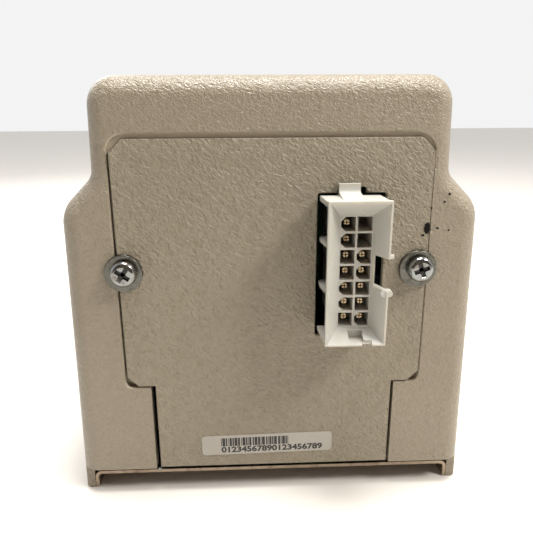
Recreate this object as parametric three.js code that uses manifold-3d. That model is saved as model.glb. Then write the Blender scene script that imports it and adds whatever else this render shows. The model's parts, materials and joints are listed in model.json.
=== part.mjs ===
// Prepaid electricity meter, in millimetres, +Z up.
// The user side with the keypad faces -Y. The back, with the cover and the plug connector, faces +Y.
// The origin is in the middle of the footprint, on the surface that the feet stand on.
import * as THREE from "three";
import { mergeVertices } from "three/addons/utils/BufferGeometryUtils.js";
import Module from "manifold-3d";

const wasm = await Module();
wasm.setup();

// ---- Driving dimensions ------------------------------------------------------------------------

const contactPitch = 4.2; // both ways in the plug connector; every other size is scaled from it

const height = 117.8;
const backY = 25; // outer face of the back wall
const frontY = -35.2; // outer face of the bezel
const footHalfWidth = 56.5;
const shoulderLow = { halfWidth: 54.7, z: 84.9, radius: 8.5 };
const shoulderHigh = { halfWidth: 46.3, z: 93.3, radius: 4 };
const topCorner = { halfWidth: 45.6, radius: 7.2 };
const wall = 3.1;
const backWall = 3.5;
const sideEdgeRadius = 3.8;
const topEdgeRadius = 6.5;
const seamY = { bezel: -23.4, shell: -22.4 }; // the gasket fills the seam between bezel and shell

const backBottomZ = 8.1; // lower edge of the back wall, above the feet
const footSetback = 3; // the feet and the tray end this far inside the back face
const openingHalfWidth = 34.4; // opening in the back wall, behind the cover

const cover = {
  shiftX: -0.25, // the cover sits against one side of its play
  thickness: 1.7,
  halfWidth: 40.95,
  tongueHalfWidth: 33.4,
  top: 102.8,
  step: 35.1,
  bottom: 8.5,
  topCut: 3.4,
  stepCut: 3,
};
const recess = { halfWidth: 41.25, top: 104, bottom: 34.7, depth: 2, shelfDepth: 0.8, cornerRadius: 5 };
const cutout = { left: -29.3, right: -11.5, bottom: 49.6, top: 88.9, notchWidth: 7.4, notchHeight: 1.5 };
const coverScrew = { x: 38.9, z: 68.9, shank: 3.8, bore: 4.3, headRadius: 3.5, washerRadius: 5 };

const tray = { thickness: 1.1, bottom: 4.5, halfWidth: 53.55, bendRadius: 2.2, screwX: 46.5, screwY: 14.5 };
const label = { x: 1.85, z: 15.7, width: 38, height: 6.3, turn: 0.018 };

const plug = {
  x: -20.4,
  z: 69.7,
  columns: 2,
  rows: 7,
  cell: 3.66,
  mouthProud: 12, // rim of the bell mouth above the back face
  gridProud: 7, // face with the contact cavities above the back face
  coreWidth: 9.8,
  coreHeight: 30.8,
  rimWidth: 15.4,
  rimHeight: 37,
  rimShift: [0.2, 0.5],
  rearEnd: 10,
  ribReach: 8, // leaves 0.9 mm of float on each side
};

const board = { thickness: 1.6, halfWidth: 41.5, bottom: 12, top: 100, frontY: -10 };
const boardBackY = board.frontY + board.thickness;
const frontBoardY = -27.6;
const facePlate = 2.5;
const faceBackY = frontY + facePlate;
const post = { x: 38, low: 18, high: 92, radius: 3.5 };

const key = {
  width: 12.6,
  height: 8.2,
  columnPitch: 18,
  rowPitch: 14,
  bottomZ: 22,
  play: 0.3,
  frontY: -37,
  flange: 0.8, // thickness of the rim that keeps the key behind the bezel
  travel: 1,
};
const keyNames = [
  ["key_clear", "key_0", "key_enter"],
  ["key_7", "key_8", "key_9"],
  ["key_4", "key_5", "key_6"],
  ["key_1", "key_2", "key_3"],
];
const display = { z: 96.5, width: 68, height: 24, viewWidth: 61, viewHeight: 17.5 };
const lamp = { x: 23, z: 79.6, radius: 1.9 };

const gap = 0.3;
const skin = 0.04; // clearance between faces that rest on each other
const reach = 10; // how far a cutting tool runs past the material

// ---- Finishes ----------------------------------------------------------------------------------

const finish = (color, roughness, metalness = 0) =>
  new THREE.MeshStandardMaterial({ color, roughness, metalness });

const finishes = {
  casing: finish("#c9bfa9", 0.55),
  zinc: finish("#b9bcc0", 0.3, 1),
  sheetSteel: finish("#8a7a6c", 0.42, 1),
  nylon: finish("#e8e6dc", 0.4),
  brass: finish("#b79a52", 0.3, 1),
  labelPaper: finish("#f2f1ec", 0.6),
  clear: finish("#cfd8d4", 0.08),
  keyRubber: finish("#4b5057", 0.6),
  matRubber: finish("#2d3034", 0.75),
  gasketRubber: finish("#26272a", 0.85),
  laminate: finish("#1f5a3c", 0.45),
  darkPlastic: finish("#22242a", 0.5),
  relayPlastic: finish("#2c5d9b", 0.4),
  winding: finish("#c99a3a", 0.45),
  canSleeve: finish("#28304a", 0.35),
  cellWrap: finish("#6f9a4c", 0.4),
  wire: finish("#33363c", 0.5),
};

// ---- Shape helpers -----------------------------------------------------------------------------

const model = new THREE.Group();

// A closed three.js geometry as a solid that can be cut and joined.
function solid(geometry) {
  const bare = geometry.clone();
  bare.deleteAttribute("normal");
  bare.deleteAttribute("uv");
  const merged = mergeVertices(bare, 1e-4);
  return new wasm.Manifold(
    new wasm.Mesh({
      numProp: 3,
      vertProperties: Float32Array.from(merged.attributes.position.array),
      triVerts: Uint32Array.from(merged.index.array),
    }),
  );
}

function geometryOf(body) {
  const mesh = body.getMesh();
  const geometry = new THREE.BufferGeometry();
  geometry.setAttribute("position", new THREE.BufferAttribute(mesh.vertProperties, 3));
  geometry.setIndex(new THREE.BufferAttribute(mesh.triVerts, 1));
  geometry.computeVertexNormals();
  return geometry;
}

const join = (first, ...others) => others.reduce((body, other) => body.add(other), first);
const cut = (first, ...others) => others.reduce((body, other) => body.subtract(other), first);

function addPart(name, body, material) {
  const mesh = new THREE.Mesh(geometryOf(body), material);
  mesh.name = name;
  model.add(mesh);
}

// The directions of the edges that meet at a corner of a closed outline.
function edgesAt(corners, i) {
  const at = (k) => new THREE.Vector2(...corners[(k + corners.length) % corners.length]);
  const into = at(i).sub(at(i - 1)).normalize();
  const out = at(i + 1).sub(at(i)).normalize();
  return { into, out, left: Math.sign(into.cross(out)) };
}

// A closed outline through counter-clockwise corners [x, y, radius], with arcs at the corners.
function outline(corners) {
  const shape = new THREE.Shape();
  corners.forEach(([x, y, radius = 0], i) => {
    const { into, out, left } = edgesAt(corners, i);
    const turn = Math.acos(Math.min(1, Math.max(-1, into.dot(out))));
    const back = radius * Math.tan(turn / 2);
    const start = new THREE.Vector2(x - into.x * back, y - into.y * back);
    if (i === 0) shape.moveTo(start.x, start.y);
    else if (!radius || !shape.curves.length) shape.lineTo(start.x, start.y);
    if (!radius) return;
    const centre = new THREE.Vector2(start.x - into.y * radius * left, start.y + into.x * radius * left);
    const angle = Math.atan2(start.y - centre.y, start.x - centre.x);
    shape.absarc(centre.x, centre.y, radius, angle, angle + turn * left, left < 0);
  });
  shape.closePath();
  return shape;
}

// The same corners moved inwards by a distance.
function inset(corners, distance) {
  return corners.map(([x, y, radius = 0], i) => {
    const { into, out, left } = edgesAt(corners, i);
    const share = distance / (1 + into.dot(out));
    const rounding = radius ? Math.max(radius - distance * left, 0.4) : 0;
    return [x - (into.y + out.y) * share, y + (into.x + out.x) * share, rounding];
  });
}

const mirrored = (half) => [...half, ...half.map(([x, y, radius]) => [-x, y, radius]).reverse()];

function rectangle(x, z, width, tall, radius = 0) {
  const [w, h] = [width / 2, tall / 2];
  return [
    [x - w, z - h, radius],
    [x + w, z - h, radius],
    [x + w, z + h, radius],
    [x - w, z + h, radius],
  ];
}

// A solid with its outline across X and Z, between two depths along Y. round rounds both end edges.
function slab(corners, front, back, { round = 0, steps = 3, arcs = 3 } = {}) {
  const geometry = new THREE.ExtrudeGeometry(outline(corners), {
    depth: back - front - 2 * round,
    curveSegments: arcs,
    bevelEnabled: round > 0,
    bevelThickness: round,
    bevelSize: round,
    bevelOffset: -round,
    bevelSegments: steps,
  });
  return solid(geometry.rotateX(Math.PI / 2).translate(0, back - round, 0));
}

// A solid with its outline across Y and Z, between two places along X.
function sideSlab(corners, low, high, arcs = 3) {
  const geometry = new THREE.ExtrudeGeometry(outline(corners), {
    depth: high - low,
    curveSegments: arcs,
    bevelEnabled: false,
  });
  const turn = new THREE.Matrix4().makeBasis(
    new THREE.Vector3(0, 1, 0),
    new THREE.Vector3(0, 0, 1),
    new THREE.Vector3(1, 0, 0),
  );
  return solid(geometry.applyMatrix4(turn).translate(low, 0, 0));
}

function box([x0, x1], [y0, y1], [z0, z1]) {
  const geometry = new THREE.BoxGeometry(x1 - x0, y1 - y0, z1 - z0);
  return solid(geometry.translate((x0 + x1) / 2, (y0 + y1) / 2, (z0 + z1) / 2));
}

// A round bar along Y between two depths.
function bar(x, z, front, back, radius, sides = 16, frontRadius = radius) {
  const geometry = new THREE.CylinderGeometry(radius, frontRadius, back - front, sides);
  return solid(geometry.translate(x, (front + back) / 2, z));
}

// A round bar along Z between two heights.
function upright(x, y, bottom, top, radius, sides = 16, bottomRadius = radius) {
  const geometry = new THREE.CylinderGeometry(radius, bottomRadius, top - bottom, sides);
  return solid(geometry.rotateX(Math.PI / 2).translate(x, y, (bottom + top) / 2));
}

// A solid of revolution about a line along Y; the profile holds [radius, y] from the axis to the axis.
function turned(profile, x, z, sides = 20) {
  const points = profile.map(([radius, y]) => new THREE.Vector2(radius, y));
  return solid(new THREE.LatheGeometry(points, sides).translate(x, 0, z));
}

// ---- Casing ------------------------------------------------------------------------------------

// The outline of the casing seen from the front, down to a chosen height.
function casingCorners(bottom) {
  const draft = (footHalfWidth - shoulderLow.halfWidth) / shoulderLow.z;
  return mirrored([
    [footHalfWidth - draft * bottom, bottom],
    [shoulderLow.halfWidth, shoulderLow.z, shoulderLow.radius],
    [shoulderHigh.halfWidth, shoulderHigh.z, shoulderHigh.radius],
    [topCorner.halfWidth, height, topCorner.radius],
  ]);
}

// The whole casing as one block, with its wide radius along the upper back edge.
function casingBlock(depthIn) {
  const back = backY - depthIn * (backWall / wall);
  const edge = Math.max(sideEdgeRadius - depthIn, 0.8);
  const top = height - depthIn;
  const bottom = depthIn > 0 ? -reach : 0;
  const block = slab(inset(casingCorners(bottom), depthIn), frontY - reach, back, {
    round: edge,
    steps: 5,
    arcs: 4,
  });
  const profile = sideSlab(
    [
      [frontY - reach * 2, -reach * 2],
      [back, -reach * 2],
      [back, top, topEdgeRadius - depthIn],
      [frontY - reach * 2, top],
    ],
    -footHalfWidth - reach,
    footHalfWidth + reach,
    5,
  );
  return block.intersect(profile);
}

function coverScrewBoss(side) {
  return bar(side * coverScrew.x, coverScrew.z, 9.5, backY - recess.depth - 0.5, 4.4);
}

function trayScrewBoss(side, y) {
  const inner = side * (tray.screwX - 4.5);
  const outer = side * (footHalfWidth - wall / 2);
  const heights = [tray.bottom + tray.thickness + skin, 15];
  return box([Math.min(inner, outer), Math.max(inner, outer)], [y - 4, y + 4], heights);
}

// Screws hold two diagonal posts; the other two posts have locating pegs.
const hasBoardScrew = (side, z) => side > 0 === z > height / 2;

function boardPost(side, z) {
  const body = bar(side * post.x, z, boardBackY + skin, backY - backWall + 0.5, post.radius, 12);
  const peg = bar(side * post.x, z, board.frontY - 1, boardBackY + 1, 1.4, 12);
  return hasBoardScrew(side, z) ? body : body.add(peg);
}

const postPlaces = [-1, 1].flatMap((side) => [post.low, post.high].map((z) => [side, z]));
const trayScrewPlaces = [-1, 1].flatMap((side) => [-1, 1].map((end) => [side, end * tray.screwY]));

function buildHousingShell() {
  const front = box([-80, 80], [frontY - 30, seamY.shell], [-20, 140]);
  const recessCorners = mirrored([
    [recess.halfWidth, recess.bottom, 2],
    [recess.halfWidth, recess.top, recess.cornerRadius],
  ]);
  // The cover lies in the deep part, and a shallow shelf is left along its upper edge.
  const seatCorners = mirrored([
    [recess.halfWidth, recess.bottom, 2],
    [recess.halfWidth, cover.top - cover.topCut + 0.2],
    [recess.halfWidth - cover.topCut, cover.top + 0.2],
  ]);
  const opening = rectangle(0, 43, openingHalfWidth * 2, 106, 3);
  const underBack = box([-80, 80], [backY - footSetback, backY + reach], [-reach, backBottomZ]);
  const betweenFeet = box(
    [-footHalfWidth + wall - 0.2, footHalfWidth - wall + 0.2],
    [-60, backY + reach],
    [-reach, backBottomZ],
  );
  const walls = cut(casingBlock(0), casingBlock(wall), front);
  const fittings = [
    ...[-1, 1].map(coverScrewBoss),
    ...trayScrewPlaces.map(([side, y]) => trayScrewBoss(side, y)),
    ...postPlaces.map(([side, z]) => boardPost(side, z)),
  ];
  const holes = [
    ...[-1, 1].map((side) => bar(side * coverScrew.x, coverScrew.z, 11, backY + reach, coverScrew.bore / 2)),
    ...trayScrewPlaces.map(([side, y]) => upright(side * tray.screwX, y, 0, 13, 1.55, 12)),
    ...postPlaces
      .filter(([side, z]) => hasBoardScrew(side, z))
      .map(([side, z]) => bar(side * post.x, z, board.frontY, boardBackY + 9, 1.3, 10)),
  ];
  const bottomCuts = cut(betweenFeet, ...trayScrewPlaces.map(([side, y]) => trayScrewBoss(side, y)));
  const body = cut(
    walls,
    slab(opening, backY - backWall - 1, backY + reach, { arcs: 2 }),
    slab(recessCorners, backY - recess.shelfDepth, backY + reach, { arcs: 3 }),
    slab(seatCorners, backY - recess.depth, backY + reach, { arcs: 3 }),
    underBack,
    bottomCuts,
  );
  addPart("housing_shell", cut(join(body, ...fittings), ...holes), finishes.casing);
}

function coverCorners() {
  return mirrored([
    [cover.tongueHalfWidth, cover.bottom, 0.4],
    [cover.tongueHalfWidth, cover.step],
    [cover.halfWidth - cover.stepCut, cover.step],
    [cover.halfWidth, cover.step + cover.stepCut],
    [cover.halfWidth, cover.top - cover.topCut],
    [cover.halfWidth - cover.topCut, cover.top],
  ]).map(([x, z, radius]) => [x + cover.shiftX, z, radius]);
}

function screwNotch(side) {
  const round = bar(side * coverScrew.x, coverScrew.z, 0, backY + reach, 2.5);
  const [low, high] = side > 0 ? [coverScrew.x, 60] : [-60, -coverScrew.x];
  return round.add(box([low, high], [0, backY + reach], [coverScrew.z - 2.5, coverScrew.z + 2.5]));
}

function buildRearCover() {
  const plate = slab(coverCorners(), backY - cover.thickness, backY);
  const middle = (cutout.left + cutout.right) / 2;
  const centre = (cutout.bottom + cutout.top) / 2;
  const windowCorners = rectangle(middle, centre, cutout.right - cutout.left, cutout.top - cutout.bottom, 0.5);
  const notchCorners = rectangle(plug.x, cutout.top, cutout.notchWidth, cutout.notchHeight * 2, 0.7);
  const window = slab(windowCorners, 0, backY + reach, { arcs: 1 });
  const notch = slab(notchCorners, 0, backY + reach, { arcs: 2 });
  addPart("rear_cover", cut(plate, window, notch, screwNotch(-1), screwNotch(1)), finishes.casing);
}

// A pan head with a cross recess on a plain shank, along +Y.
function panScrew(x, z, seatY, headRadius, headHeight, shank, length) {
  const head = turned(
    [
      [0, seatY - length],
      [shank * 0.35, seatY - length],
      [shank / 2, seatY - length + 0.8],
      [shank / 2, seatY],
      [headRadius, seatY],
      [headRadius, seatY + headHeight * 0.4],
      [headRadius * 0.86, seatY + headHeight * 0.78],
      [headRadius * 0.5, seatY + headHeight],
      [0, seatY + headHeight],
    ],
    x,
    z,
  );
  const arm = headRadius * 0.55;
  const slot = headRadius * 0.14;
  const deep = [seatY + headHeight * 0.3, seatY + headHeight + 1];
  return cut(
    head,
    box([x - arm, x + arm], deep, [z - slot, z + slot]),
    box([x - slot, x + slot], deep, [z - arm, z + arm]),
  );
}

function buildCoverFasteners() {
  const washerThickness = 1;
  [
    ["left", -1],
    ["right", 1],
  ].forEach(([name, side]) => {
    const x = side * coverScrew.x;
    const seat = backY + skin;
    const headSeat = seat + washerThickness + skin;
    const ring = cut(
      bar(x, coverScrew.z, seat, seat + washerThickness, coverScrew.washerRadius, 28),
      bar(x, coverScrew.z, 0, seat + reach, coverScrew.bore / 2 + 0.1),
    );
    const screw = panScrew(x, coverScrew.z, headSeat, coverScrew.headRadius, 2.5, coverScrew.shank, 13.5);
    addPart(`cover_washer_${name}`, ring, finishes.zinc);
    addPart(`cover_screw_${name}`, screw, finishes.zinc);
  });
}

// One bent sheet: a floor with a flange turned down at each side, as a closed section along Y.
function buildBaseTray() {
  const { bottom, thickness, halfWidth, bendRadius } = tray;
  const top = bottom + thickness;
  const section = [
    [-halfWidth, 0],
    [-halfWidth + thickness, 0],
    [-halfWidth + thickness, bottom, bendRadius - thickness],
    [halfWidth - thickness, bottom, bendRadius - thickness],
    [halfWidth - thickness, 0],
    [halfWidth, 0],
    [halfWidth, top, bendRadius],
    [-halfWidth, top, bendRadius],
  ];
  const sheet = slab(section, seamY.shell + 0.4, backY - footSetback, { arcs: 2 });
  const holes = trayScrewPlaces.map(([side, y]) =>
    upright(side * tray.screwX, y, bottom - skin, top + skin, 1.75, 16, 2.95),
  );
  addPart("base_tray", cut(sheet, ...holes), finishes.sheetSteel);
}

function buildTrayScrews() {
  trayScrewPlaces.forEach(([side, y], i) => {
    const x = side * tray.screwX;
    const head = upright(x, y, tray.bottom, tray.bottom + tray.thickness, 1.5, 16, 2.75);
    const shank = upright(x, y, tray.bottom + tray.thickness - 0.1, 12, 1.4, 12);
    const slots = [
      box([x - 1.5, x + 1.5], [y - 0.3, y + 0.3], [0, tray.bottom + 0.7]),
      box([x - 0.3, x + 0.3], [y - 1.5, y + 1.5], [0, tray.bottom + 0.7]),
    ];
    addPart(`tray_screw_${i + 1}`, cut(head.add(shank), ...slots), finishes.zinc);
  });
}

function buildSerialLabel() {
  const sheet = slab(rectangle(0, 0, label.width, label.height, 0.9), 0, 0.14, { arcs: 2 });
  const placed = geometryOf(sheet).rotateY(label.turn).translate(label.x, backY + skin, label.z);
  addPart("serial_label", solid(placed), finishes.labelPaper);
}

// ---- Front -------------------------------------------------------------------------------------

const keyPlaces = keyNames.flatMap((names, row) =>
  names.map((name, column) => [name, (column - 1) * key.columnPitch, key.bottomZ + row * key.rowPitch]),
);

// A tab that reaches from the bezel's skirt into the shell, to line the two up.
function bezelTab(xs, zs, rootXs, rootZs) {
  const tongue = box(xs, [-30, -17], zs);
  const root = box(rootXs, [-30, seamY.bezel - 0.5], rootZs);
  return tongue.add(root);
}

const ordered = (a, b) => [Math.min(a, b), Math.max(a, b)];

function bezelTabs() {
  const thickness = 1.6;
  const top = height - wall - 0.5;
  const outer = footHalfWidth - wall - thickness;
  const topTab = (side) => {
    const xs = [side * 28 - 5, side * 28 + 5];
    return bezelTab(xs, [top - thickness, top], xs, [top - thickness, top + 1]);
  };
  const sideTab = (side) => {
    const xs = ordered(side * outer, side * (outer - thickness));
    const rootXs = ordered(side * (outer - thickness), side * (outer + 2));
    return bezelTab(xs, [45, 55], rootXs, [45, 55]);
  };
  return [-1, 1].flatMap((side) => [topTab(side), sideTab(side)]);
}

// Pegs that carry the front board.
const pegPlaces = [-1, 1].flatMap((side) => [16, 80].map((z) => [side * 32, z]));

function buildFrontBezel() {
  const block = (distance, bottom, front) =>
    slab(inset(casingCorners(bottom), distance), front, seamY.bezel + reach, {
      round: Math.max(4 - distance, 0.6),
      steps: 4,
      arcs: 3,
    });
  const behind = box([-80, 80], [seamY.bezel, 60], [-20, 140]);
  const shellOfBezel = cut(block(0, 0, frontY), block(wall, tray.bottom - 0.5, faceBackY), behind);
  const channel = box([-tray.halfWidth + 1, tray.halfWidth - 1], [-60, 60], [-reach, tray.bottom]);
  const pocketCorners = rectangle(0, display.z, display.width + 0.5, display.height + 0.5, 2.2);
  const pocket = slab(pocketCorners, -60, frontY + 1.6, { arcs: 2 });
  const view = slab(rectangle(0, display.z, display.viewWidth, display.viewHeight, 1.5), -60, -30, { arcs: 2 });
  const holeSize = [key.width + 2 * key.play, key.height + 2 * key.play];
  const keyHoles = keyPlaces.map(([, x, z]) => slab(rectangle(x, z, ...holeSize, 2.2), -60, -30, { arcs: 1 }));
  const lampHole = bar(lamp.x, lamp.z, -60, -30, lamp.radius + 0.2, 12);
  const pegs = pegPlaces.map(([x, z]) =>
    join(
      bar(x, z, faceBackY - 0.5, frontBoardY - skin, 2.6, 10),
      bar(x, z, frontBoardY - 1, frontBoardY + 2.4, 1.2, 10),
    ),
  );
  const body = cut(shellOfBezel, channel, pocket, view, ...keyHoles, lampHole);
  addPart("front_bezel", join(body, ...pegs, ...bezelTabs()), finishes.casing);
}

function buildGasket() {
  const ring = (distance) => inset(casingCorners(tray.bottom), distance);
  const front = seamY.bezel + skin;
  const back = seamY.shell - skin;
  const inside = slab(ring(wall - 0.5), -60, 60, { arcs: 3 });
  const body = cut(slab(ring(0.7), front, back, { arcs: 3 }), inside, ...bezelTabs());
  addPart("front_gasket", body, finishes.gasketRubber);
}

function buildDisplay() {
  const paneCorners = rectangle(0, display.z, display.width, display.height, 2);
  const pane = slab(paneCorners, frontY + 0.1, frontY + 1.5, { arcs: 2 });
  addPart("display_window", pane, finishes.clear);
  const frame = slab(rectangle(0, display.z, 72, 26.5, 1), faceBackY + gap, frontBoardY - skin, { arcs: 1 });
  const glass = slab(rectangle(0, display.z, 63, 19.5), faceBackY - 1, faceBackY + gap + 0.6);
  addPart("lcd_module", cut(frame, glass), finishes.darkPlastic);
}

function buildKeys() {
  const front = faceBackY + gap;
  const back = front + key.flange;
  keyPlaces.forEach(([name, x, z]) => {
    const capCorners = rectangle(x, z, key.width, key.height, 2);
    const cap = slab(capCorners, key.frontY, back, { round: 0.7, steps: 2, arcs: 2 });
    const plate = slab(rectangle(x, z, key.width + 2, key.height + 2, 1), front, back, { arcs: 1 });
    addPart(name, cap.add(plate), finishes.keyRubber);
  });
}

function buildKeypadMat() {
  const domeFront = faceBackY + gap + key.flange + key.travel + gap; // clear of a fully pressed key
  const keypadHeight = 3 * key.rowPitch;
  const sheetCorners = rectangle(0, key.bottomZ + keypadHeight / 2, 56, keypadHeight + 13, 2);
  const sheet = slab(sheetCorners, frontBoardY - 1.6, frontBoardY - skin, { arcs: 1 });
  const domes = keyPlaces.map(([, x, z]) => bar(x, z, domeFront, frontBoardY - 1, 3.8, 12, 2.6));
  addPart("keypad_mat", join(sheet, ...domes), finishes.matRubber);
}

function buildFrontBoard() {
  const back = frontBoardY + board.thickness;
  const sheet = slab(rectangle(0, 61.5, 74, 99, 1), frontBoardY, back, { arcs: 1 });
  const holes = pegPlaces.map(([x, z]) => bar(x, z, -60, 0, 1.45, 10));
  addPart("front_board", cut(sheet, ...holes), finishes.laminate);
}

function buildLightPipe() {
  const pipe = bar(lamp.x, lamp.z, frontY - 0.3, frontBoardY - gap, lamp.radius, 14);
  const collar = bar(lamp.x, lamp.z, faceBackY + gap, faceBackY + gap + 1.2, lamp.radius + 1.2, 14);
  addPart("status_light_pipe", pipe.add(collar), finishes.clear);
}

// ---- Plug connector ----------------------------------------------------------------------------

const rowHeight = (row) => plug.z + ((plug.rows - 1) / 2 - row) * contactPitch;
const columnPlace = (column) => plug.x + (0.5 - column) * contactPitch; // column 0 is on the +X side

const columns = [0, 1];
const rows = [...Array(plug.rows).keys()];
const cells = rows.flatMap((row) => columns.map((column) => ({ row, column })));
const keyedRows = [0, 1, 4, 5]; // the +X column is keyed in these rows, the -X column in the others
const isEmpty = ({ row, column }) => column === 1 && row < 2;
const isKeyed = (cell) => (cell.column === 0) === keyedRows.includes(cell.row) && !isEmpty(cell);

// A cavity is square, or has the corners of its +X side cut off as a key.
function cavityCorners(cell) {
  const half = plug.cell / 2;
  const keyCut = 1.15;
  const x = columnPlace(cell.column);
  const z = rowHeight(cell.row);
  const square = [
    [x + half, z + half],
    [x + half, z - half],
  ];
  const keyed = [
    [x + half - keyCut, z + half],
    [x + half, z + half - keyCut],
    [x + half, z - half + keyCut],
    [x + half - keyCut, z - half],
  ];
  const corners = [...(isKeyed(cell) ? keyed : square), [x - half, z - half], [x - half, z + half]];
  return corners.reverse();
}

// A tapered block between two depths, whose end at the second one is moved over with the rim.
function frustum(front, back, frontSize, backSize) {
  const geometry = new THREE.CylinderGeometry(Math.SQRT1_2, Math.SQRT1_2, 1, 4, 1).rotateY(Math.PI / 4);
  const position = geometry.attributes.position;
  for (let i = 0; i < position.count; i += 1) {
    const atBack = position.getY(i) > 0;
    const [width, tall] = atBack ? backSize : frontSize;
    const [overX, overZ] = atBack ? plug.rimShift : [0, 0];
    const x = plug.x + overX + position.getX(i) * width;
    const z = plug.z + overZ + position.getZ(i) * tall;
    position.setXYZ(i, x, atBack ? back : front, z);
  }
  return solid(geometry);
}

// The tab above or below the mouth: it runs back from the flare and lies flat on the cover.
function panelTab(side) {
  const at = (proud, up) => [backY + proud, plug.z + side * up];
  const root = side > 0 ? 18.6 : 17.6;
  const corners = [
    at(9.2, root - 1),
    at(9.2, root),
    at(2.2, 19.6),
    at(1.5, 20.3),
    at(1.5, 21.8),
    at(0.3, 21.8),
    at(0.3, 19),
    at(5, 15.2),
  ];
  return sideSlab(side > 0 ? corners : corners.reverse(), plug.x - 1.7, plug.x + 3.7);
}

// The latch inside the cover, above or below the cutout.
function innerLatch(side) {
  const inner = backY - cover.thickness - 0.5;
  const low = plug.coreHeight / 2 - 1;
  const heights = [plug.z + side * low, plug.z + side * 21.2].sort((a, b) => a - b);
  return box([plug.x - 2.6, plug.x + 2.6], [inner - 1.4, inner], heights);
}

// A flat sheet square to the Z axis, from places given as [out from the middle, proud of the back].
function flatSheet(side, places, low, thickness) {
  const corners = places.map(([out, proud]) => [plug.x + side * out, backY + proud]);
  const shape = outline(side > 0 ? corners : corners.reverse());
  const geometry = new THREE.ExtrudeGeometry(shape, { depth: thickness, bevelEnabled: false });
  return solid(geometry.translate(0, 0, plug.z + low));
}

// A rib beside the core: it stiffens the flare and limits the float in the cutout.
function rib(side, up) {
  const places = [
    [4.5, -3.2],
    [7.4, -3.2],
    [plug.ribReach, -2],
    [plug.ribReach, 0.5],
    [6.9, 9.5],
    [4.5, 9.5],
  ];
  return flatSheet(side, places, up - 0.45, 0.9);
}

const ribPlaces = [
  [1, 6.9],
  [1, -5.3],
  [-1, 10],
  [-1, -9],
];

// The walls above and below the mouth: they run back to the cover and reach the edge of its cutout.
function mouthWalls() {
  const places = [
    [-7.1, 0.4],
    [8.4, 0.4],
    [7.8, 10.6],
    [-7.4, 10.6],
  ];
  return [flatSheet(1, places, 17.4, 1.3), flatSheet(1, places, -18, 1)];
}

function buildConnectorHousing() {
  const { coreWidth, coreHeight, rimWidth, rimHeight, gridProud, mouthProud, x, z } = plug;
  const grid = backY + gridProud;
  const rim = backY + mouthProud;
  const flareStart = backY + 4;
  const rimBand = 1.4;
  const rimCore = 0.9;
  const [overX, overZ] = plug.rimShift;
  const spanX = (width, over = 0) => [x + over - width / 2, x + over + width / 2];
  const spanZ = (tall, over = 0) => [z + over - tall / 2, z + over + tall / 2];
  const core = box(spanX(coreWidth), [plug.rearEnd, grid], spanZ(coreHeight));
  const flare = frustum(flareStart, rim - rimBand, [coreWidth, coreHeight], [rimWidth, rimHeight]);
  const band = box(spanX(rimWidth, overX), [rim - rimBand - skin, rim], spanZ(rimHeight, overZ));
  const funnelSmall = [2 * contactPitch - 0.2, plug.rows * contactPitch + 0.1];
  const funnelLarge = [rimWidth - rimCore + 1.2, rimHeight - rimCore + 1.2];
  const funnel = frustum(grid, rim + 1, funnelSmall, funnelLarge);
  const window = box([x - 20, x - 4.75], [flareStart - 1.5, rim + 5], [z - 3.4, z + 4.8]);
  const rimNotch = box([x - 4.2, x - 1.6], [rim - 1.2, rim + 5], [z - 25, z - 15]);
  const groove = box([x - 2.2, x + 1.6], [grid + 0.8, rim + 5], [z - 17.45, z - 15]);
  const spur = box([x - 8.5, x - 6.7], [rim - 1.4, rim - 0.5], [z + 4.8, z + 5.7]);
  const ear = slab(rectangle(x - 7.2, z - 4.2, 3, 1.6, 0.75), rim - 2.2, rim - 0.3, { arcs: 2 });
  const ribs = ribPlaces.map(([side, up]) => rib(side, up));
  const fixings = [1, -1].flatMap((side) => [panelTab(side), innerLatch(side)]);
  const body = join(core, flare, band, ...fixings, ...ribs, ...mouthWalls());
  const cavities = cells.map((cell) => slab(cavityCorners(cell), backY - 4, grid + 1));
  const bores = cells
    .filter((cell) => !isEmpty(cell))
    .map((cell) => bar(columnPlace(cell.column), rowHeight(cell.row), 0, backY, 0.85, 8));
  const hollowed = cut(body, funnel, window, rimNotch, groove, ...cavities, ...bores);
  addPart("connector_housing", join(hollowed, spur, ear), finishes.nylon);
}

// A round contact with a tip that is split crosswise.
function buildContacts() {
  const tip = backY + plug.gridProud - 2.4;
  cells
    .filter((cell) => !isEmpty(cell))
    .forEach((cell, i) => {
      const x = columnPlace(cell.column);
      const z = rowHeight(cell.row);
      const pin = bar(x, z, plug.rearEnd + 0.5, tip, 0.75, 12);
      const depths = [tip - 1.3, tip + 1];
      const flatSlot = box([x - 2, x + 2], depths, [z - 0.13, z + 0.13]);
      const uprightSlot = box([x - 0.13, x + 0.13], depths, [z - 2, z + 2]);
      addPart(`contact_pin_${String(i + 1).padStart(2, "0")}`, cut(pin, flatSlot, uprightSlot), finishes.brass);
    });
}

// ---- Electronics -------------------------------------------------------------------------------

function buildMainBoard() {
  const centre = (board.bottom + board.top) / 2;
  const corners = rectangle(0, centre, board.halfWidth * 2, board.top - board.bottom, 1.5);
  const sheet = slab(corners, board.frontY, boardBackY, { arcs: 1 });
  const holes = postPlaces.map(([side, z]) => bar(side * post.x, z, -60, 0, 1.65, 12));
  addPart("main_board", cut(sheet, ...holes), finishes.laminate);
}

function buildBoardScrews() {
  const seat = board.frontY - skin;
  postPlaces
    .filter(([side, z]) => hasBoardScrew(side, z))
    .forEach(([side, z], i) => {
      const x = side * post.x;
      const head = bar(x, z, seat - 2, seat, 2.8, 16);
      const shank = bar(x, z, seat - 0.5, boardBackY + 7, 1.15, 10);
      const slots = [
        box([x - 1.5, x + 1.5], [seat - 3, seat - 1], [z - 0.35, z + 0.35]),
        box([x - 0.35, x + 0.35], [seat - 3, seat - 1], [z - 1.5, z + 1.5]),
      ];
      addPart(`board_screw_${i + 1}`, cut(head.add(shank), ...slots), finishes.zinc);
    });
}

const onBoard = boardBackY + skin;

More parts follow.
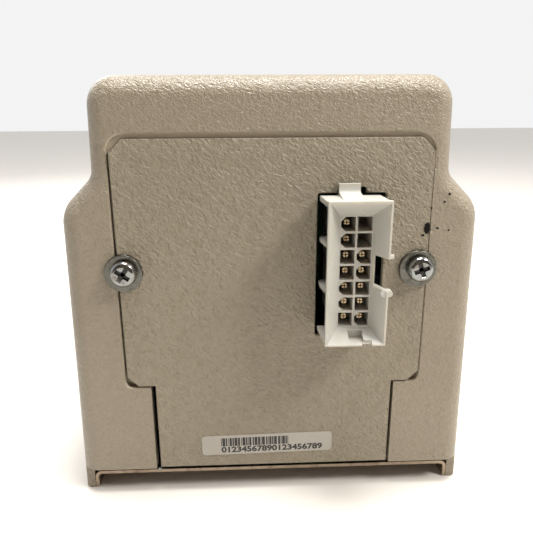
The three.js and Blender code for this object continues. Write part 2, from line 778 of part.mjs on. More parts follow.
function buildHeaderAndHarness() {
  const headerTop = 38;
  const header = cut(
    box([plug.x - 9, plug.x + 9], [onBoard, 2], [headerTop - 8, headerTop]),
    box([plug.x - 7.6, plug.x + 7.6], [onBoard + 2, 0.6], [headerTop - 4, headerTop + 1]),
  );
  addPart("board_header", header, finishes.nylon);
  const route = new THREE.CatmullRomCurve3(
    [
      new THREE.Vector3(plug.x, plug.rearEnd - gap, plug.z),
      new THREE.Vector3(plug.x, 6, plug.z),
      new THREE.Vector3(plug.x, 0.4, plug.z - 4.5),
      new THREE.Vector3(plug.x, -2.3, plug.z - 12),
      new THREE.Vector3(plug.x, -2.8, 48),
      new THREE.Vector3(plug.x, -2.8, headerTop + gap),
    ],
    false,
    "centripetal",
  );
  const section = new THREE.Shape().absarc(0, 0, 4.2, 0, 2 * Math.PI, false);
  const loom = new THREE.ExtrudeGeometry(section, {
    steps: 12,
    curveSegments: 5,
    extrudePath: route,
    bevelEnabled: false,
  });
  addPart("wire_harness", solid(loom), finishes.wire);
}

// A flat cable that hangs in a loop between a plug on each of the two boards.
function buildRibbonCable() {
  const front = frontBoardY + board.thickness + skin;
  const back = board.frontY - skin;
  const halfWidth = 12;
  const thickness = 1;
  const [loopZ, plugZ] = [50, 63];
  const loop = [
    [front + 1, plugZ],
    [front + 1, loopZ, 4],
    [back - 1, loopZ, 4],
    [back - 1, plugZ],
    [back - 1 - thickness, plugZ],
    [back - 1 - thickness, loopZ + thickness, 3],
    [front + 1 + thickness, loopZ + thickness, 3],
    [front + 1 + thickness, plugZ],
  ];
  const plugs = [
    box([-halfWidth - 1, halfWidth + 1], [front, front + 3], [plugZ - 3, plugZ + 3]),
    box([-halfWidth - 1, halfWidth + 1], [back - 3, back], [plugZ - 3, plugZ + 3]),
  ];
  addPart("ribbon_cable", join(sideSlab(loop, -halfWidth, halfWidth, 3), ...plugs), finishes.wire);
}

function buildRelay() {
  const corners = rectangle(18, 29, 30, 25, 1);
  const block = slab(corners, onBoard, 10, { round: 0.6, steps: 1, arcs: 1 });
  addPart("disconnect_relay", block, finishes.relayPlastic);
}

function buildTransformer() {
  const core = box([4, 34], [onBoard + 6, 11], [46, 74]);
  const bobbin = box([9, 29], [onBoard, 16], [50, 70]);
  addPart("mains_transformer", core.add(bobbin), finishes.winding);
}

function buildCurrentSensor() {
  const [x, z] = [24, 85.5];
  const ring = bar(x, z, onBoard, 1.5, 9, 24);
  const well = bar(x, z, onBoard + 1.5, 5, 4.2, 16);
  addPart("current_sensor", cut(ring, well), finishes.darkPlastic);
}

function buildCapacitors() {
  const profile = [
    [0, onBoard],
    [4.8, onBoard],
    [4.8, onBoard + 1.4],
    [4.4, onBoard + 1.9],
    [4.8, onBoard + 2.4],
    [4.8, 5.6],
    [4.3, 6],
    [0, 6],
  ];
  [56, 43.5].forEach((z, i) => {
    addPart(`smoothing_capacitor_${i + 1}`, turned(profile, -33.5, z, 16), finishes.canSleeve);
  });
}

function buildBattery() {
  const [radius, length] = [6.8, 25];
  const cell = new THREE.CylinderGeometry(radius, radius, length, 20).rotateZ(Math.PI / 2);
  addPart("backup_battery", solid(cell.translate(-20.5, onBoard + radius + 0.1, 21)), finishes.cellWrap);
}

function buildMeteringChip() {
  addPart("metering_chip", slab(rectangle(-4, 78, 10, 10), onBoard, onBoard + 1.7), finishes.darkPlastic);
}

function buildBuzzer() {
  const [x, z] = [-2, 92];
  const can = bar(x, z, onBoard, onBoard + 7, 6, 20);
  const soundHole = bar(x, z, onBoard + 6, onBoard + 9, 1, 8);
  addPart("buzzer", cut(can, soundHole), finishes.darkPlastic);
}

// The plunger stands against the inside of the rear cover and springs out when the cover is taken off.
function buildTamperSwitch() {
  const [x, z] = [8, 90];
  const coverInside = backY - cover.thickness;
  const body = box([x - 3.5, x + 3.5], [onBoard, 6], [z - 4, z + 4]);
  addPart("tamper_switch", cut(body, bar(x, z, -1, 9, 1.8, 12)), finishes.darkPlastic);
  const rod = bar(x, z, 1.5, coverInside - 1.4, 1.5, 12);
  const tip = bar(x, z, coverInside - 1.5, coverInside - gap, 2.2, 12, 2.6);
  addPart("tamper_plunger", rod.add(tip), finishes.nylon);
}

// ---- Assembly ----------------------------------------------------------------------------------

buildHousingShell();
buildRearCover();
buildCoverFasteners();
buildBaseTray();
buildTrayScrews();
buildSerialLabel();
buildFrontBezel();
buildGasket();
buildDisplay();
buildKeys();
buildKeypadMat();
buildFrontBoard();
buildLightPipe();
buildConnectorHousing();
buildContacts();
buildMainBoard();
buildBoardScrews();
buildHeaderAndHarness();
buildRibbonCable();
buildRelay();
buildTransformer();
buildCurrentSensor();
buildCapacitors();
buildBattery();
buildMeteringChip();
buildBuzzer();
buildTamperSwitch();

export default model;
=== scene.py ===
"""Prepaid electricity meter: the finished look of its casing, plug connector, keypad and fittings.

The meter stands on its feet, with the keypad towards -Y and the plug connector towards +Y. Sizes in
the classes are in millimetres; they become metres where a mesh or a light is made.
"""

import json
import logging
import math
from collections.abc import Callable, Iterable, Sequence
from dataclasses import dataclass
from enum import Enum

import bpy
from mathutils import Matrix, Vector


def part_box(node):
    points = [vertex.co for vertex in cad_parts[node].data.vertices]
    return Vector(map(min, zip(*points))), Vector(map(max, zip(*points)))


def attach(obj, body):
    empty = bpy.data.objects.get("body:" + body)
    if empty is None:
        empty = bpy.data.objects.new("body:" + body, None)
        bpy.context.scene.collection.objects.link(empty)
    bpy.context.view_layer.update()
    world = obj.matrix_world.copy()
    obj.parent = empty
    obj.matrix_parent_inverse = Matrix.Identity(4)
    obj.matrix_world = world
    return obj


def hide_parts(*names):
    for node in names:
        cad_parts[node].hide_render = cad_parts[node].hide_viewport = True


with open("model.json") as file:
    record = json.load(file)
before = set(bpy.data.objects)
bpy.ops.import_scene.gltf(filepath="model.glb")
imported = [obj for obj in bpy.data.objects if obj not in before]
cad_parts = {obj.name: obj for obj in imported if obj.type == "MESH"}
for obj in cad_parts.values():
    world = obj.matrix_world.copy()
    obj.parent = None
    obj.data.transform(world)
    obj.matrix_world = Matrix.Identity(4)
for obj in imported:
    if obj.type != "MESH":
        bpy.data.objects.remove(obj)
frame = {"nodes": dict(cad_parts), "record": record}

MM = 0.001

Colour = tuple[float, float, float]
Point = tuple[float, float, float]

logging.basicConfig(level=logging.INFO, format="%(name)s: %(message)s")
log = logging.getLogger("meter")


# ---- Shader bench ------------------------------------------------------------------------------


@dataclass(frozen=True)
class Signal:
    """One output of a shader node, for use in arithmetic."""

    bench: "ShaderBench"
    socket: bpy.types.NodeSocket

    def _maths(self, operation: str, first: object, second: object) -> "Signal":
        """Add a Math node.

        Args:
            operation: the Math node's operation.
            first: the first value or signal.
            second: the second value or signal.

        Returns:
            The node's result.
        """
        return self.bench.node("Math", {"operation": operation}, {0: first, 1: second})

    def __add__(self, other: object) -> "Signal":
        """Return self + other."""
        return self._maths("ADD", self, other)

    def __radd__(self, other: object) -> "Signal":
        """Return other + self."""
        return self._maths("ADD", other, self)

    def __sub__(self, other: object) -> "Signal":
        """Return self - other."""
        return self._maths("SUBTRACT", self, other)

    def __rsub__(self, other: object) -> "Signal":
        """Return other - self."""
        return self._maths("SUBTRACT", other, self)

    def __mul__(self, other: object) -> "Signal":
        """Return self * other."""
        return self._maths("MULTIPLY", self, other)

    def __rmul__(self, other: object) -> "Signal":
        """Return other * self."""
        return self._maths("MULTIPLY", other, self)

    def larger(self, other: object) -> "Signal":
        """Return the larger of self and other."""
        return self._maths("MAXIMUM", self, other)

    def zigzag(self, top: float) -> "Signal":
        """Return self folded back and forth between 0 and top."""
        return self._maths("PINGPONG", self, top)

    def band(self, low: float, high: float) -> "Signal":
        """Rise smoothly from 0 at low to 1 at high.

        Args:
            low: the value that gives 0.
            high: the value that gives 1; it may lie under low.

        Returns:
            The eased step.
        """
        kind = {"interpolation_type": "SMOOTHSTEP"}
        values = {"Value": self, "From Min": low, "From Max": high}
        return self.bench.node("MapRange", kind, values)


class ShaderBench:
    """Builds the node tree of one material."""

    def __init__(self, name: str) -> None:
        """Start an empty material.

        Args:
            name: the material's name.
        """
        self.material = bpy.data.materials.new(name)
        self.material.use_nodes = True
        self.tree = self.material.node_tree
        self.tree.nodes.clear()

    def node(
        self,
        kind: str,
        settings: dict[str, object] | None = None,
        values: dict[int | str, object] | None = None,
        output: int | str = 0,
    ) -> Signal:
        """Add a node.

        Args:
            kind: the node's type without its ShaderNode prefix.
            settings: its properties; "stops" holds a ramp's places and colours.
            values: a value or signal for each named or numbered input.
            output: the output to return.

        Returns:
            The chosen output.
        """
        made = self.tree.nodes.new(f"ShaderNode{kind}")
        for name, value in (settings or {}).items():
            if name == "stops":
                self._set_stops(made, value)
            else:
                setattr(made, name, value)
        for name, value in (values or {}).items():
            if isinstance(value, Signal):
                self.tree.links.new(value.socket, made.inputs[name])
            else:
                made.inputs[name].default_value = value
        return Signal(self, made.outputs[output] if made.outputs else made.inputs[0])

    @staticmethod
    def _set_stops(ramp: bpy.types.ShaderNode, stops: Sequence[tuple[float, Colour]]) -> None:
        """Place the stops of a colour ramp.

        Args:
            ramp: the ramp node.
            stops: each stop's place and colour, from low to high.
        """
        elements = ramp.color_ramp.elements
        while len(elements) < len(stops):
            elements.new(0.5)
        for element, (place, colour) in zip(elements, stops):
            element.position = place
            element.color = (*colour, 1.0)

    def place(self, turn: Point = (0, 0, 0), scale: Point = (1, 1, 1)) -> Signal:
        """Return the place on the piece in metres, for a pattern that is turned and then scaled up."""
        coordinate = self.node("TexCoord", output="Object")
        values = {"Vector": coordinate, "Rotation": turn, "Scale": scale}
        return self.node("Mapping", {"vector_type": "TEXTURE"}, values)

    def noise(self, place: Signal, scale: float, detail: float = 2.0, distortion: float = 0.0) -> Signal:
        """Return fractal noise.

        Args:
            place: where on the piece it is read.
            scale: lumps per metre.
            detail: how many finer layers it has.
            distortion: how far it swirls.

        Returns:
            A value that is 0.5 on average.
        """
        values = {"Vector": place, "Scale": scale, "Detail": detail, "Distortion": distortion}
        return self.node("TexNoise", {"noise_dimensions": "3D"}, values)

    def blend(self, factor: object, first: object, second: object) -> Signal:
        """Mix two colours.

        Args:
            factor: the share of the second.
            first: the colour or signal at 0.
            second: the colour or signal at 1.

        Returns:
            The mixed colour.
        """
        colours = [c if isinstance(c, Signal) else (*c, 1.0) for c in (first, second)]
        values = {0: factor, 6: colours[0], 7: colours[1]}
        return self.node("Mix", {"data_type": "RGBA"}, values, output=2)

    def bump(self, height: Signal, depth: float) -> Signal:
        """Return the surface normal tilted by a height.

        Args:
            height: the relief, from 0 to 1.
            depth: how deep the relief is, in millimetres.

        Returns:
            The normal.
        """
        values = {"Height": height, "Distance": depth * MM, "Strength": 1.0}
        return self.node("Bump", values=values)

    def finish(self, values: dict[str, object]) -> bpy.types.Material:
        """End the tree in a Principled shader.

        Args:
            values: the shader's inputs by name.

        Returns:
            The material.
        """
        shader = self.node("BsdfPrincipled", values=values)
        self.node("OutputMaterial", values={"Surface": shader})
        return self.material


def grey(value: float) -> Colour:
    """Return a grey of that lightness."""
    return (value, value, value)


# ---- Finishes ----------------------------------------------------------------------------------


@dataclass(frozen=True)
class Finish:
    """What a surface is made of, and the record's slot that it belongs to."""

    name: str
    slot: str

    def material(self) -> bpy.types.Material:
        """Return the material, made once."""
        return bpy.data.materials.get(self.label) or self.mix()

    @property
    def label(self) -> str:
        """The material's name."""
        return f"{self.name}_finish"

    def mix(self) -> bpy.types.Material:
        """Make the material."""
        raise NotImplementedError


@dataclass(frozen=True)
class Chip:
    """A place where the paint has come off, in millimetres on the back face."""

    x: float
    z: float
    width: float
    height: float
    y: float = 25.0
    depth: float = 20.0


@dataclass(frozen=True)
class TexturePaint(Finish):
    """Paint that dried in a wrinkled grain, on a moulded or pressed part."""

    colour: Colour
    # The next two colours are painted shade for the wrinkles' hollows, which the stains also use, and a
    # painted highlight for their crests.
    hollow_shade_and_stain: Colour
    crest_highlight: Colour
    grain: float
    stretch: float
    slant: float
    relief: float
    roughness: float = 0.5
    chips: tuple[Chip, ...] = ()

    def mix(self) -> bpy.types.Material:
        """Make the material from wrinkles with painted shade in their hollows and a painted highlight on
        their crests, a fine orange peel, faint stains and the chips.
        """
        bench = ShaderBench(self.label)
        turned = bench.place(turn=(0, math.radians(self.slant), 0), scale=(1, 1, self.stretch))
        plain = bench.place()
        wrinkle = bench.noise(turned, 1 / (self.grain * MM), 2.0, 0.7)
        lump = bench.noise(plain, 0.4 / (self.grain * MM), 2.0, 0.4)
        peel = bench.noise(plain, 5200, 1.0)
        stain = bench.noise(plain, 34, 3.0)
        height = wrinkle * 0.8 + lump * 0.5 + peel * 0.06
        # The tone follows the wrinkles that also make the bump: a random tone, plus painted shade in the
        # hollows and a painted highlight on the crests.
        stops = [(0.3, self.hollow_shade_and_stain), (0.5, self.colour), (0.72, self.crest_highlight)]
        tone = bench.node("ValToRGB", {"stops": stops}, {"Fac": wrinkle * 0.6 + lump * 0.4})
        dulled = bench.blend(stain.band(0.42, 0.68) * 0.25, tone, self.hollow_shade_and_stain)
        chipped = self._chipped(bench, plain, peel)
        return bench.finish(
            {
                "Base Color": bench.blend(chipped, dulled, (0.012, 0.011, 0.010)),
                "Roughness": self.roughness + (peel - 0.5) * 0.25 + (stain - 0.5) * 0.12,
                "Metallic": chipped * 0.95,
                "Normal": bench.bump(height * (1 - chipped), self.relief),
                "Specular IOR Level": 0.5,
            }
        )

    def _chipped(self, bench: ShaderBench, place: Signal, peel: Signal) -> Signal:
        """Return 1 in the chips and 0 elsewhere.

        Args:
            bench: the material's bench.
            place: where on the piece it is read.
            peel: fine noise that frays the chips' edges.

        Returns:
            The mask.
        """
        mask = peel * 0.0
        for chip in self.chips:
            centre = (chip.x * MM, chip.y * MM, chip.z * MM)
            offset = bench.node("VectorMath", {"operation": "SUBTRACT"}, {0: place, 1: centre})
            spread = tuple(2 / (size * MM) for size in (chip.width, chip.depth, chip.height))
            scaled = bench.node("VectorMath", {"operation": "MULTIPLY"}, {0: offset, 1: spread})
            distance = bench.node("VectorMath", {"operation": "LENGTH"}, {0: scaled}, output="Value")
            mask = mask.larger((distance + (peel - 0.5) * 0.9).band(1.15, 0.95))
        return mask


@dataclass(frozen=True)
class Metal(Finish):
    """Plated or bare metal with fine drawn lines and dull patches."""

    colour: Colour
    patch: Colour
    roughness: float
    lines: Point = (12, 12, 1)
    metallic: float = 1.0
    relief: float = 0.01

    def mix(self) -> bpy.types.Material:
        """Make the material from patches, drawn lines and a light tarnish."""
        bench = ShaderBench(self.label)
        plain = bench.place()
        patches = bench.noise(plain, 420, 4.0, 0.5)
        drawn = bench.noise(bench.place(scale=self.lines), 5000, 2.0)
        speck = bench.noise(plain, 3800, 2.0)
        tarnish = patches.band(0.45, 0.75) * 0.7 + drawn.band(0.5, 0.8) * 0.3
        return bench.finish(
            {
                "Base Color": bench.blend(tarnish, self.colour, self.patch),
                "Metallic": self.metallic - tarnish * 0.12,
                "Roughness": self.roughness + (patches - 0.4) * 0.3 + (drawn - 0.5) * 0.2,
                "Normal": bench.bump(drawn * 0.6 + speck * 0.4, self.relief),
            }
        )


@dataclass(frozen=True)
class Moulding(Finish):
    """Moulded plastic or rubber with a satin skin, flow marks and dust in its pits."""

    colour: Colour
    shade: Colour
    roughness: float
    grain: float = 0.5
    relief: float = 0.02
    milkiness: float = 0.0

    def mix(self) -> bpy.types.Material:
        """Make the material from a fine grain and broad flow marks."""
        bench = ShaderBench(self.label)
        plain = bench.place()
        grain = bench.noise(plain, 1 / (self.grain * MM), 3.0)
        flow = bench.noise(bench.place(scale=(1, 1, 3)), 130, 3.0, 1.2)
        speck = bench.noise(plain, 6000, 1.0)
        tone = flow.band(0.35, 0.75) * 0.7 + grain.band(0.45, 0.8) * 0.3
        return bench.finish(
            {
                "Base Color": bench.blend(tone, self.colour, self.shade),
                "Roughness": self.roughness + (grain - 0.5) * 0.2 + (flow - 0.5) * 0.12,
                "Normal": bench.bump(grain * 0.7 + speck * 0.3, self.relief),
                "Subsurface Weight": self.milkiness,
                "Subsurface Radius": (0.0016, 0.0012, 0.0008),
                "Subsurface Scale": 1.0,
            }
        )


@dataclass(frozen=True)
class ClearPlastic(Finish):
    """A clear pane or light pipe with faint wiping marks."""

    tint: Colour
    roughness: float = 0.06
    cover: float = 0.22

    def mix(self) -> bpy.types.Material:
        """Make the material from a clear body, wiping marks and dust."""
        bench = ShaderBench(self.label)
        wiped = bench.noise(bench.place(turn=(0, 0.5, 0), scale=(5, 1, 1)), 300, 3.0, 0.6)
        dust = bench.noise(bench.place(), 2600, 2.0)
        return bench.finish(
            {
                "Base Color": bench.blend(wiped.band(0.5, 0.9) * 0.2, self.tint, grey(0.7)),
                "Roughness": self.roughness + wiped.band(0.45, 0.8) * 0.07 + dust.band(0.6, 0.8) * 0.2,
                "Normal": bench.bump(wiped, 0.004),
                "Transmission Weight": 0.5,
                "IOR": 1.46,
                "Alpha": self.cover + wiped.band(0.45, 0.8) * 0.05,
            }
        )


@dataclass(frozen=True)
class Laminate(Finish):
    """Green circuit board with tracks under its lacquer."""

    lacquer: Colour
    track: Colour

    def mix(self) -> bpy.types.Material:
        """Make the material from square-cornered tracks and a weave."""
        bench = ShaderBench(self.label)
        cells = {"feature": "F1", "distance": "CHEBYCHEV", "voronoi_dimensions": "3D"}
        place = bench.place(scale=(1, 100, 1))
        tracks = bench.node("TexVoronoi", cells, {"Vector": place, "Scale": 260.0}, output="Distance")
        weave = bench.noise(bench.place(scale=(4, 1, 1)), 3600, 1.0)
        line = (tracks * 9.0).zigzag(0.5).band(0.3, 0.36)
        return bench.finish(
            {
                "Base Color": bench.blend(line * 0.8, self.lacquer, self.track),
                "Roughness": 0.32 + (weave - 0.5) * 0.2,
                "Normal": bench.bump(line * 0.5 + weave * 0.2, 0.03),
                "Coat Weight": 0.3,
            }
        )


@dataclass(frozen=True)
class Laminations(Finish):
    """Stacked iron sheets seen on their edges."""

    iron: Colour
    gap: Colour
    pitch: float = 0.5

    def mix(self) -> bpy.types.Material:
        """Make the material from evenly stacked sheets with varnish between them."""
        bench = ShaderBench(self.label)
        wave = {"wave_type": "BANDS", "bands_direction": "Y"}
        values = {"Vector": bench.place(), "Scale": 0.31 / (self.pitch * MM), "Distortion": 0.4}
        sheets = bench.node("TexWave", wave, values, output="Fac")
        rust = bench.noise(bench.place(), 300, 3.0)
        edge = bench.blend(rust.band(0.5, 0.75) * 0.5, self.iron, (0.13, 0.06, 0.03))
        return bench.finish(
            {
                "Base Color": bench.blend(sheets.band(0.3, 0.1), edge, self.gap),
                "Metallic": 0.55 - rust * 0.3,
                "Roughness": 0.4 + rust * 0.25,
                "Normal": bench.bump(sheets, 0.05),
            }
        )


@dataclass(frozen=True)
class Print(Finish):
    """Ink on a smooth surface, with a slightly uneven edge of cover."""

    colour: Colour
    thin: Colour

    def mix(self) -> bpy.types.Material:
        """Make the material from solid ink with worn spots."""
        bench = ShaderBench(self.label)
        worn = bench.noise(bench.place(), 2100, 3.0).band(0.58, 0.8)
        return bench.finish(
            {
                "Base Color": bench.blend(worn * 0.6, self.colour, self.thin),
                "Roughness": 0.45 + worn * 0.2,
            }
        )


# The paint is chipped around the screw under the right shoulder, as seen from the back.
WEAR = (
    Chip(-40.5, 79.4, 1.8, 2.9),
    Chip(-45.7, 88.3, 0.8, 0.6),
    Chip(-44.5, 86.3, 0.7, 0.5),
    Chip(-41.2, 84.7, 0.5, 0.7),
    Chip(-43.2, 79.4, 0.9, 0.5),
    Chip(-46.2, 78.8, 0.5, 0.5),
    Chip(-39.5, 77.5, 0.9, 0.6),
)


@dataclass(frozen=True)
class FinishBook:
    """Every finish on the meter."""

    # Each paint's second colour is the painted shade in the wrinkles' hollows, which the stains share, and
    # its third is the painted highlight on their crests.
    casing: Finish = TexturePaint(
        "casing_paint", "casing", (0.250, 0.214, 0.158), (0.217, 0.182, 0.129), (0.272, 0.234, 0.176),
        grain=0.55, stretch=1.5, slant=62, relief=0.46, roughness=0.32, chips=WEAR,
    )
    # A lighter, flatter-grained copy of the casing paint for the recess border: painted light on its ledge.
    recess: Finish = TexturePaint(
        "casing_recess_painted_light", "casing", (0.315, 0.273, 0.206), (0.278, 0.238, 0.173), (0.335, 0.293, 0.223),
        grain=1.6, stretch=1.2, slant=0, relief=0.05, roughness=0.36,
    )
    cover: Finish = TexturePaint(
        "cover_paint", "cover_paint", (0.238, 0.206, 0.149), (0.198, 0.167, 0.113), (0.263, 0.229, 0.170),
        grain=0.8, stretch=1.6, slant=53, relief=0.9, roughness=0.38, chips=WEAR,
    )
    sheet_steel: Finish = Metal(
        "bare_tray_steel", "tray_steel", (0.33, 0.265, 0.20), (0.17, 0.12, 0.085), 0.42, lines=(30, 1, 30),
    )
    zinc: Finish = Metal("zinc_plate", "zinc_plate", (0.27, 0.285, 0.28), (0.12, 0.085, 0.06), 0.1)
    # The washers' zinc is a darker, duller copy of the screws' zinc: painted shade.
    washer: Finish = Metal("dull_zinc_plate_painted_shade", "zinc_plate", (0.13, 0.13, 0.115), (0.07, 0.06, 0.05), 0.25)
    brass: Finish = Metal("contact_brass", "contact_brass", (0.38, 0.30, 0.19), (0.18, 0.13, 0.08), 0.25)
    nylon: Finish = Moulding(
        "natural_nylon", "natural_nylon", (0.455, 0.450, 0.412), (0.415, 0.408, 0.368), 0.38, milkiness=0.35,
    )
    gasket: Finish = Moulding("gasket_rubber", "gasket_rubber", (0.022, 0.022, 0.024), grey(0.04), 0.7)
    mat: Finish = Moulding("mat_rubber", "mat_rubber", (0.03, 0.032, 0.036), grey(0.05), 0.75)
    key: Finish = Moulding("key_plastic", "key_plastic", (0.075, 0.082, 0.092), (0.10, 0.105, 0.115), 0.48)
    dark: Finish = Moulding("dark_plastic", "dark_plastic", (0.018, 0.019, 0.022), grey(0.035), 0.42)
    relay: Finish = Moulding("relay_plastic", "relay_plastic", (0.03, 0.11, 0.32), (0.04, 0.14, 0.36), 0.35)
    sleeve: Finish = Moulding("capacitor_sleeve", "capacitor_sleeve", (0.02, 0.03, 0.07), grey(0.05), 0.3)
    cell: Finish = Moulding("battery_wrap", "battery_wrap", (0.16, 0.32, 0.08), (0.20, 0.36, 0.11), 0.35)
    wire: Finish = Moulding("wire_insulation", "wire_insulation", (0.035, 0.037, 0.042), grey(0.06), 0.5)
    core: Finish = Laminations("transformer_core", "transformer_core", (0.16, 0.14, 0.13), grey(0.02))
    board: Finish = Laminate("board_laminate", "board_laminate", (0.012, 0.09, 0.045), (0.03, 0.16, 0.08))
    pane: Finish = ClearPlastic("clear_window", "clear_window", (0.93, 0.96, 0.95))
    lamp: Finish = ClearPlastic("lamp_plastic", "clear_window", (0.20, 0.72, 0.28), 0.18, 0.92)
    film: Finish = Moulding(
        "label_film", "label_film", (0.35, 0.333, 0.295), (0.31, 0.293, 0.26), 0.42, relief=0.006,
    )
    ink: Finish = Print("label_ink", "label_film", grey(0.012), grey(0.12))
    legend: Finish = Print("key_legend", "key_plastic", (0.78, 0.78, 0.74), (0.5, 0.5, 0.47))
    segment: Finish = Print("display_segment", "dark_plastic", (0.015, 0.02, 0.018), (0.06, 0.07, 0.06))
    glass: Finish = Moulding("display_glass", "dark_plastic", (0.34, 0.40, 0.30), (0.30, 0.36, 0.27), 0.2)


BOOK = FinishBook()


# ---- Modelling bench ---------------------------------------------------------------------------


class Axis(Enum):
    """A direction, with the turn that lays an upright bar along it."""

    X = (0, (0.0, math.pi / 2, 0.0))
    Y = (1, (-math.pi / 2, 0.0, 0.0))
    Z = (2, (0.0, 0.0, 0.0))

    @property
    def index(self) -> int:
        """The axis's place in a vector."""
        return self.value[0]

    @property
    def turn(self) -> Point:
        """The turn of a bar from upright."""
        return self.value[1]


class Fusion(Enum):
    """How two solids are put together."""

    JOIN = "UNION"
    CUT = "DIFFERENCE"


class Element(Enum):
    """What edit mode selects."""

    EDGE = (False, True, False)
    FACE = (False, False, True)


@dataclass(frozen=True)
class EdgeFacts:
    """Where an edge lies, in millimetres, and how sharply its faces meet."""

    start: Vector
    end: Vector
    turn: float

    def along(self, axis: Axis) -> bool:
        """Tell whether the edge runs along the axis."""
        run = self.end - self.start
        return abs(run[axis.index]) > 0.999 * run.length

    def at(self, axis: Axis, value: float, slack: float = 0.02) -> bool:
        """Tell whether both ends lie at that value of the axis."""
        i = axis.index
        return abs(self.start[i] - value) < slack and abs(self.end[i] - value) < slack

    def within(self, low: Point, high: Point) -> bool:
        """Tell whether both ends lie in a box."""
        return all(
            low[i] - 0.01 <= point[i] <= high[i] + 0.01 for point in (self.start, self.end) for i in range(3)
        )


EdgeTest = Callable[[EdgeFacts], bool]
FaceTest = Callable[[Vector, Vector], bool]


class Blank:
    """A solid on the bench, with its sizes given in millimetres."""

    def __init__(self, body: bpy.types.Object) -> None:
        """Take hold of an object.

        Args:
            body: the mesh object.
        """
        self.body = body

    @classmethod
    def _taken(cls, name: str) -> "Blank":
        """Name the object that was just added and settle its place in its mesh."""
        body = bpy.context.object
        body.name = name
        body.data.name = name
        bpy.ops.object.transform_apply(location=True, rotation=True, scale=True)
        return cls(body)

    @classmethod
    def block(cls, name: str, low: Point, high: Point) -> "Blank":
        """Add a block between two corners."""
        bpy.ops.object.select_all(action="DESELECT")
        centre = [(a + b) / 2 * MM for a, b in zip(low, high)]
        size = [(b - a) * MM for a, b in zip(low, high)]
        bpy.ops.mesh.primitive_cube_add(size=1, location=centre, scale=size)
        return cls._taken(name)

    @classmethod
    def bar(
        cls,
        name: str,
        axis: Axis,
        centre: Point,
        length: float,
        radius: float,
        far_radius: float | None = None,
        sides: int = 48,
    ) -> "Blank":
        """Add a round bar or cone along an axis.

        Args:
            name: the piece's name.
            axis: the direction that it lies along.
            centre: its middle.
            length: its length.
            radius: the radius at its low end.
            far_radius: the radius at its high end, if that differs.
            sides: how many faces go round it.

        Returns:
            The bar.
        """
        bpy.ops.object.select_all(action="DESELECT")
        bpy.ops.mesh.primitive_cone_add(
            vertices=sides,
            radius1=radius * MM,
            radius2=(radius if far_radius is None else far_radius) * MM,
            depth=length * MM,
            location=[c * MM for c in centre],
            rotation=axis.turn,
        )
        return cls._taken(name)

    @classmethod
    def lettering(
        cls, name: str, words: str, height: float, thickness: float, weight: float = 0.0
    ) -> "Blank":
        """Add upright lettering at the origin that reads towards +X and faces -Y.

        Args:
            name: the piece's name.
            words: what it says.
            height: the height of a capital.
            thickness: how thick it is.
            weight: how much its strokes are widened.

        Returns:
            The lettering, centred.
        """
        bpy.ops.object.select_all(action="DESELECT")
        bpy.ops.object.text_add()
        text = bpy.context.object
        text.data.body = words
        text.data.size = height * MM / 0.7
        text.data.extrude = thickness / 2 * MM
        text.data.align_x = "CENTER"
        text.data.align_y = "CENTER"
        text.data.resolution_u = 3
        text.data.offset = weight * MM
        bpy.ops.object.convert(target="MESH")
        bpy.context.object.rotation_euler = (math.pi / 2, 0, 0)
        return cls._taken(name)

    @classmethod
    def from_node(cls, name: str, node: str) -> "Blank":
        """Add a merged copy of a CAD node."""
        source = frame["nodes"][node]
        body = bpy.data.objects.new(name, source.data.copy())
        bpy.context.scene.collection.objects.link(body)
        body.data.materials.clear()
        blank = cls(body)
        blank._edit_all(lambda: bpy.ops.mesh.remove_doubles(threshold=1e-6))
        return blank.merge_flat()

    def merge_flat(self) -> "Blank":
        """Make one face of the faces that lie in one plane."""
        return self._edit_all(lambda: bpy.ops.mesh.dissolve_limited(angle_limit=0.005))

    def copy(self, name: str, shift: Point = (0, 0, 0)) -> "Blank":
        """Add a copy with its own mesh, moved by a distance."""
        body = self.body.copy()
        body.data = self.body.data.copy()
        body.name = name
        body.data.name = name
        bpy.context.scene.collection.objects.link(body)
        return Blank(body).placed(shift)

    def placed(self, shift: Point, turn: Point = (0, 0, 0)) -> "Blank":
        """Turn the piece about the origin, then move it."""
        self._hold()
        self.body.location = [s * MM for s in shift]
        self.body.rotation_euler = turn
        bpy.ops.object.transform_apply(location=True, rotation=True, scale=True)
        return self

    def _hold(self) -> None:
        """Make this the only selected and the active object."""
        bpy.ops.object.select_all(action="DESELECT")
        self.body.select_set(True)
        bpy.context.view_layer.objects.active = self.body

    def _edit(self, element: Element, chosen: Iterable[int], work: Callable[[], object]) -> None:
        """Select edges or faces by number and work on them in edit mode.

        Args:
            element: what the numbers count.
            chosen: the numbers.
            work: the operator to run.
        """
        self._hold()
        bpy.context.tool_settings.mesh_select_mode = element.value
        bpy.ops.object.mode_set(mode="EDIT")
        bpy.ops.mesh.select_all(action="DESELECT")
        bpy.ops.object.mode_set(mode="OBJECT")
        mesh = self.body.data
        parts = mesh.edges if element is Element.EDGE else mesh.polygons
        for i in chosen:
            parts[i].select = True
        bpy.ops.object.mode_set(mode="EDIT")
        work()
        bpy.ops.object.mode_set(mode="OBJECT")

    def _edit_all(self, work: Callable[[], object]) -> "Blank":
        """Work on the whole piece in edit mode."""
        self._edit(Element.FACE, range(len(self.body.data.polygons)), work)
        return self

    def _apply(self, kind: str, **settings: object) -> None:
        """Add a modifier and apply it.

        Args:
            kind: the modifier's type.
            settings: its properties.
        """
        self._hold()
        modifier = self.body.modifiers.new(kind.lower(), kind)
        for name, value in settings.items():
            setattr(modifier, name, value)
        bpy.ops.object.modifier_apply(modifier=modifier.name)

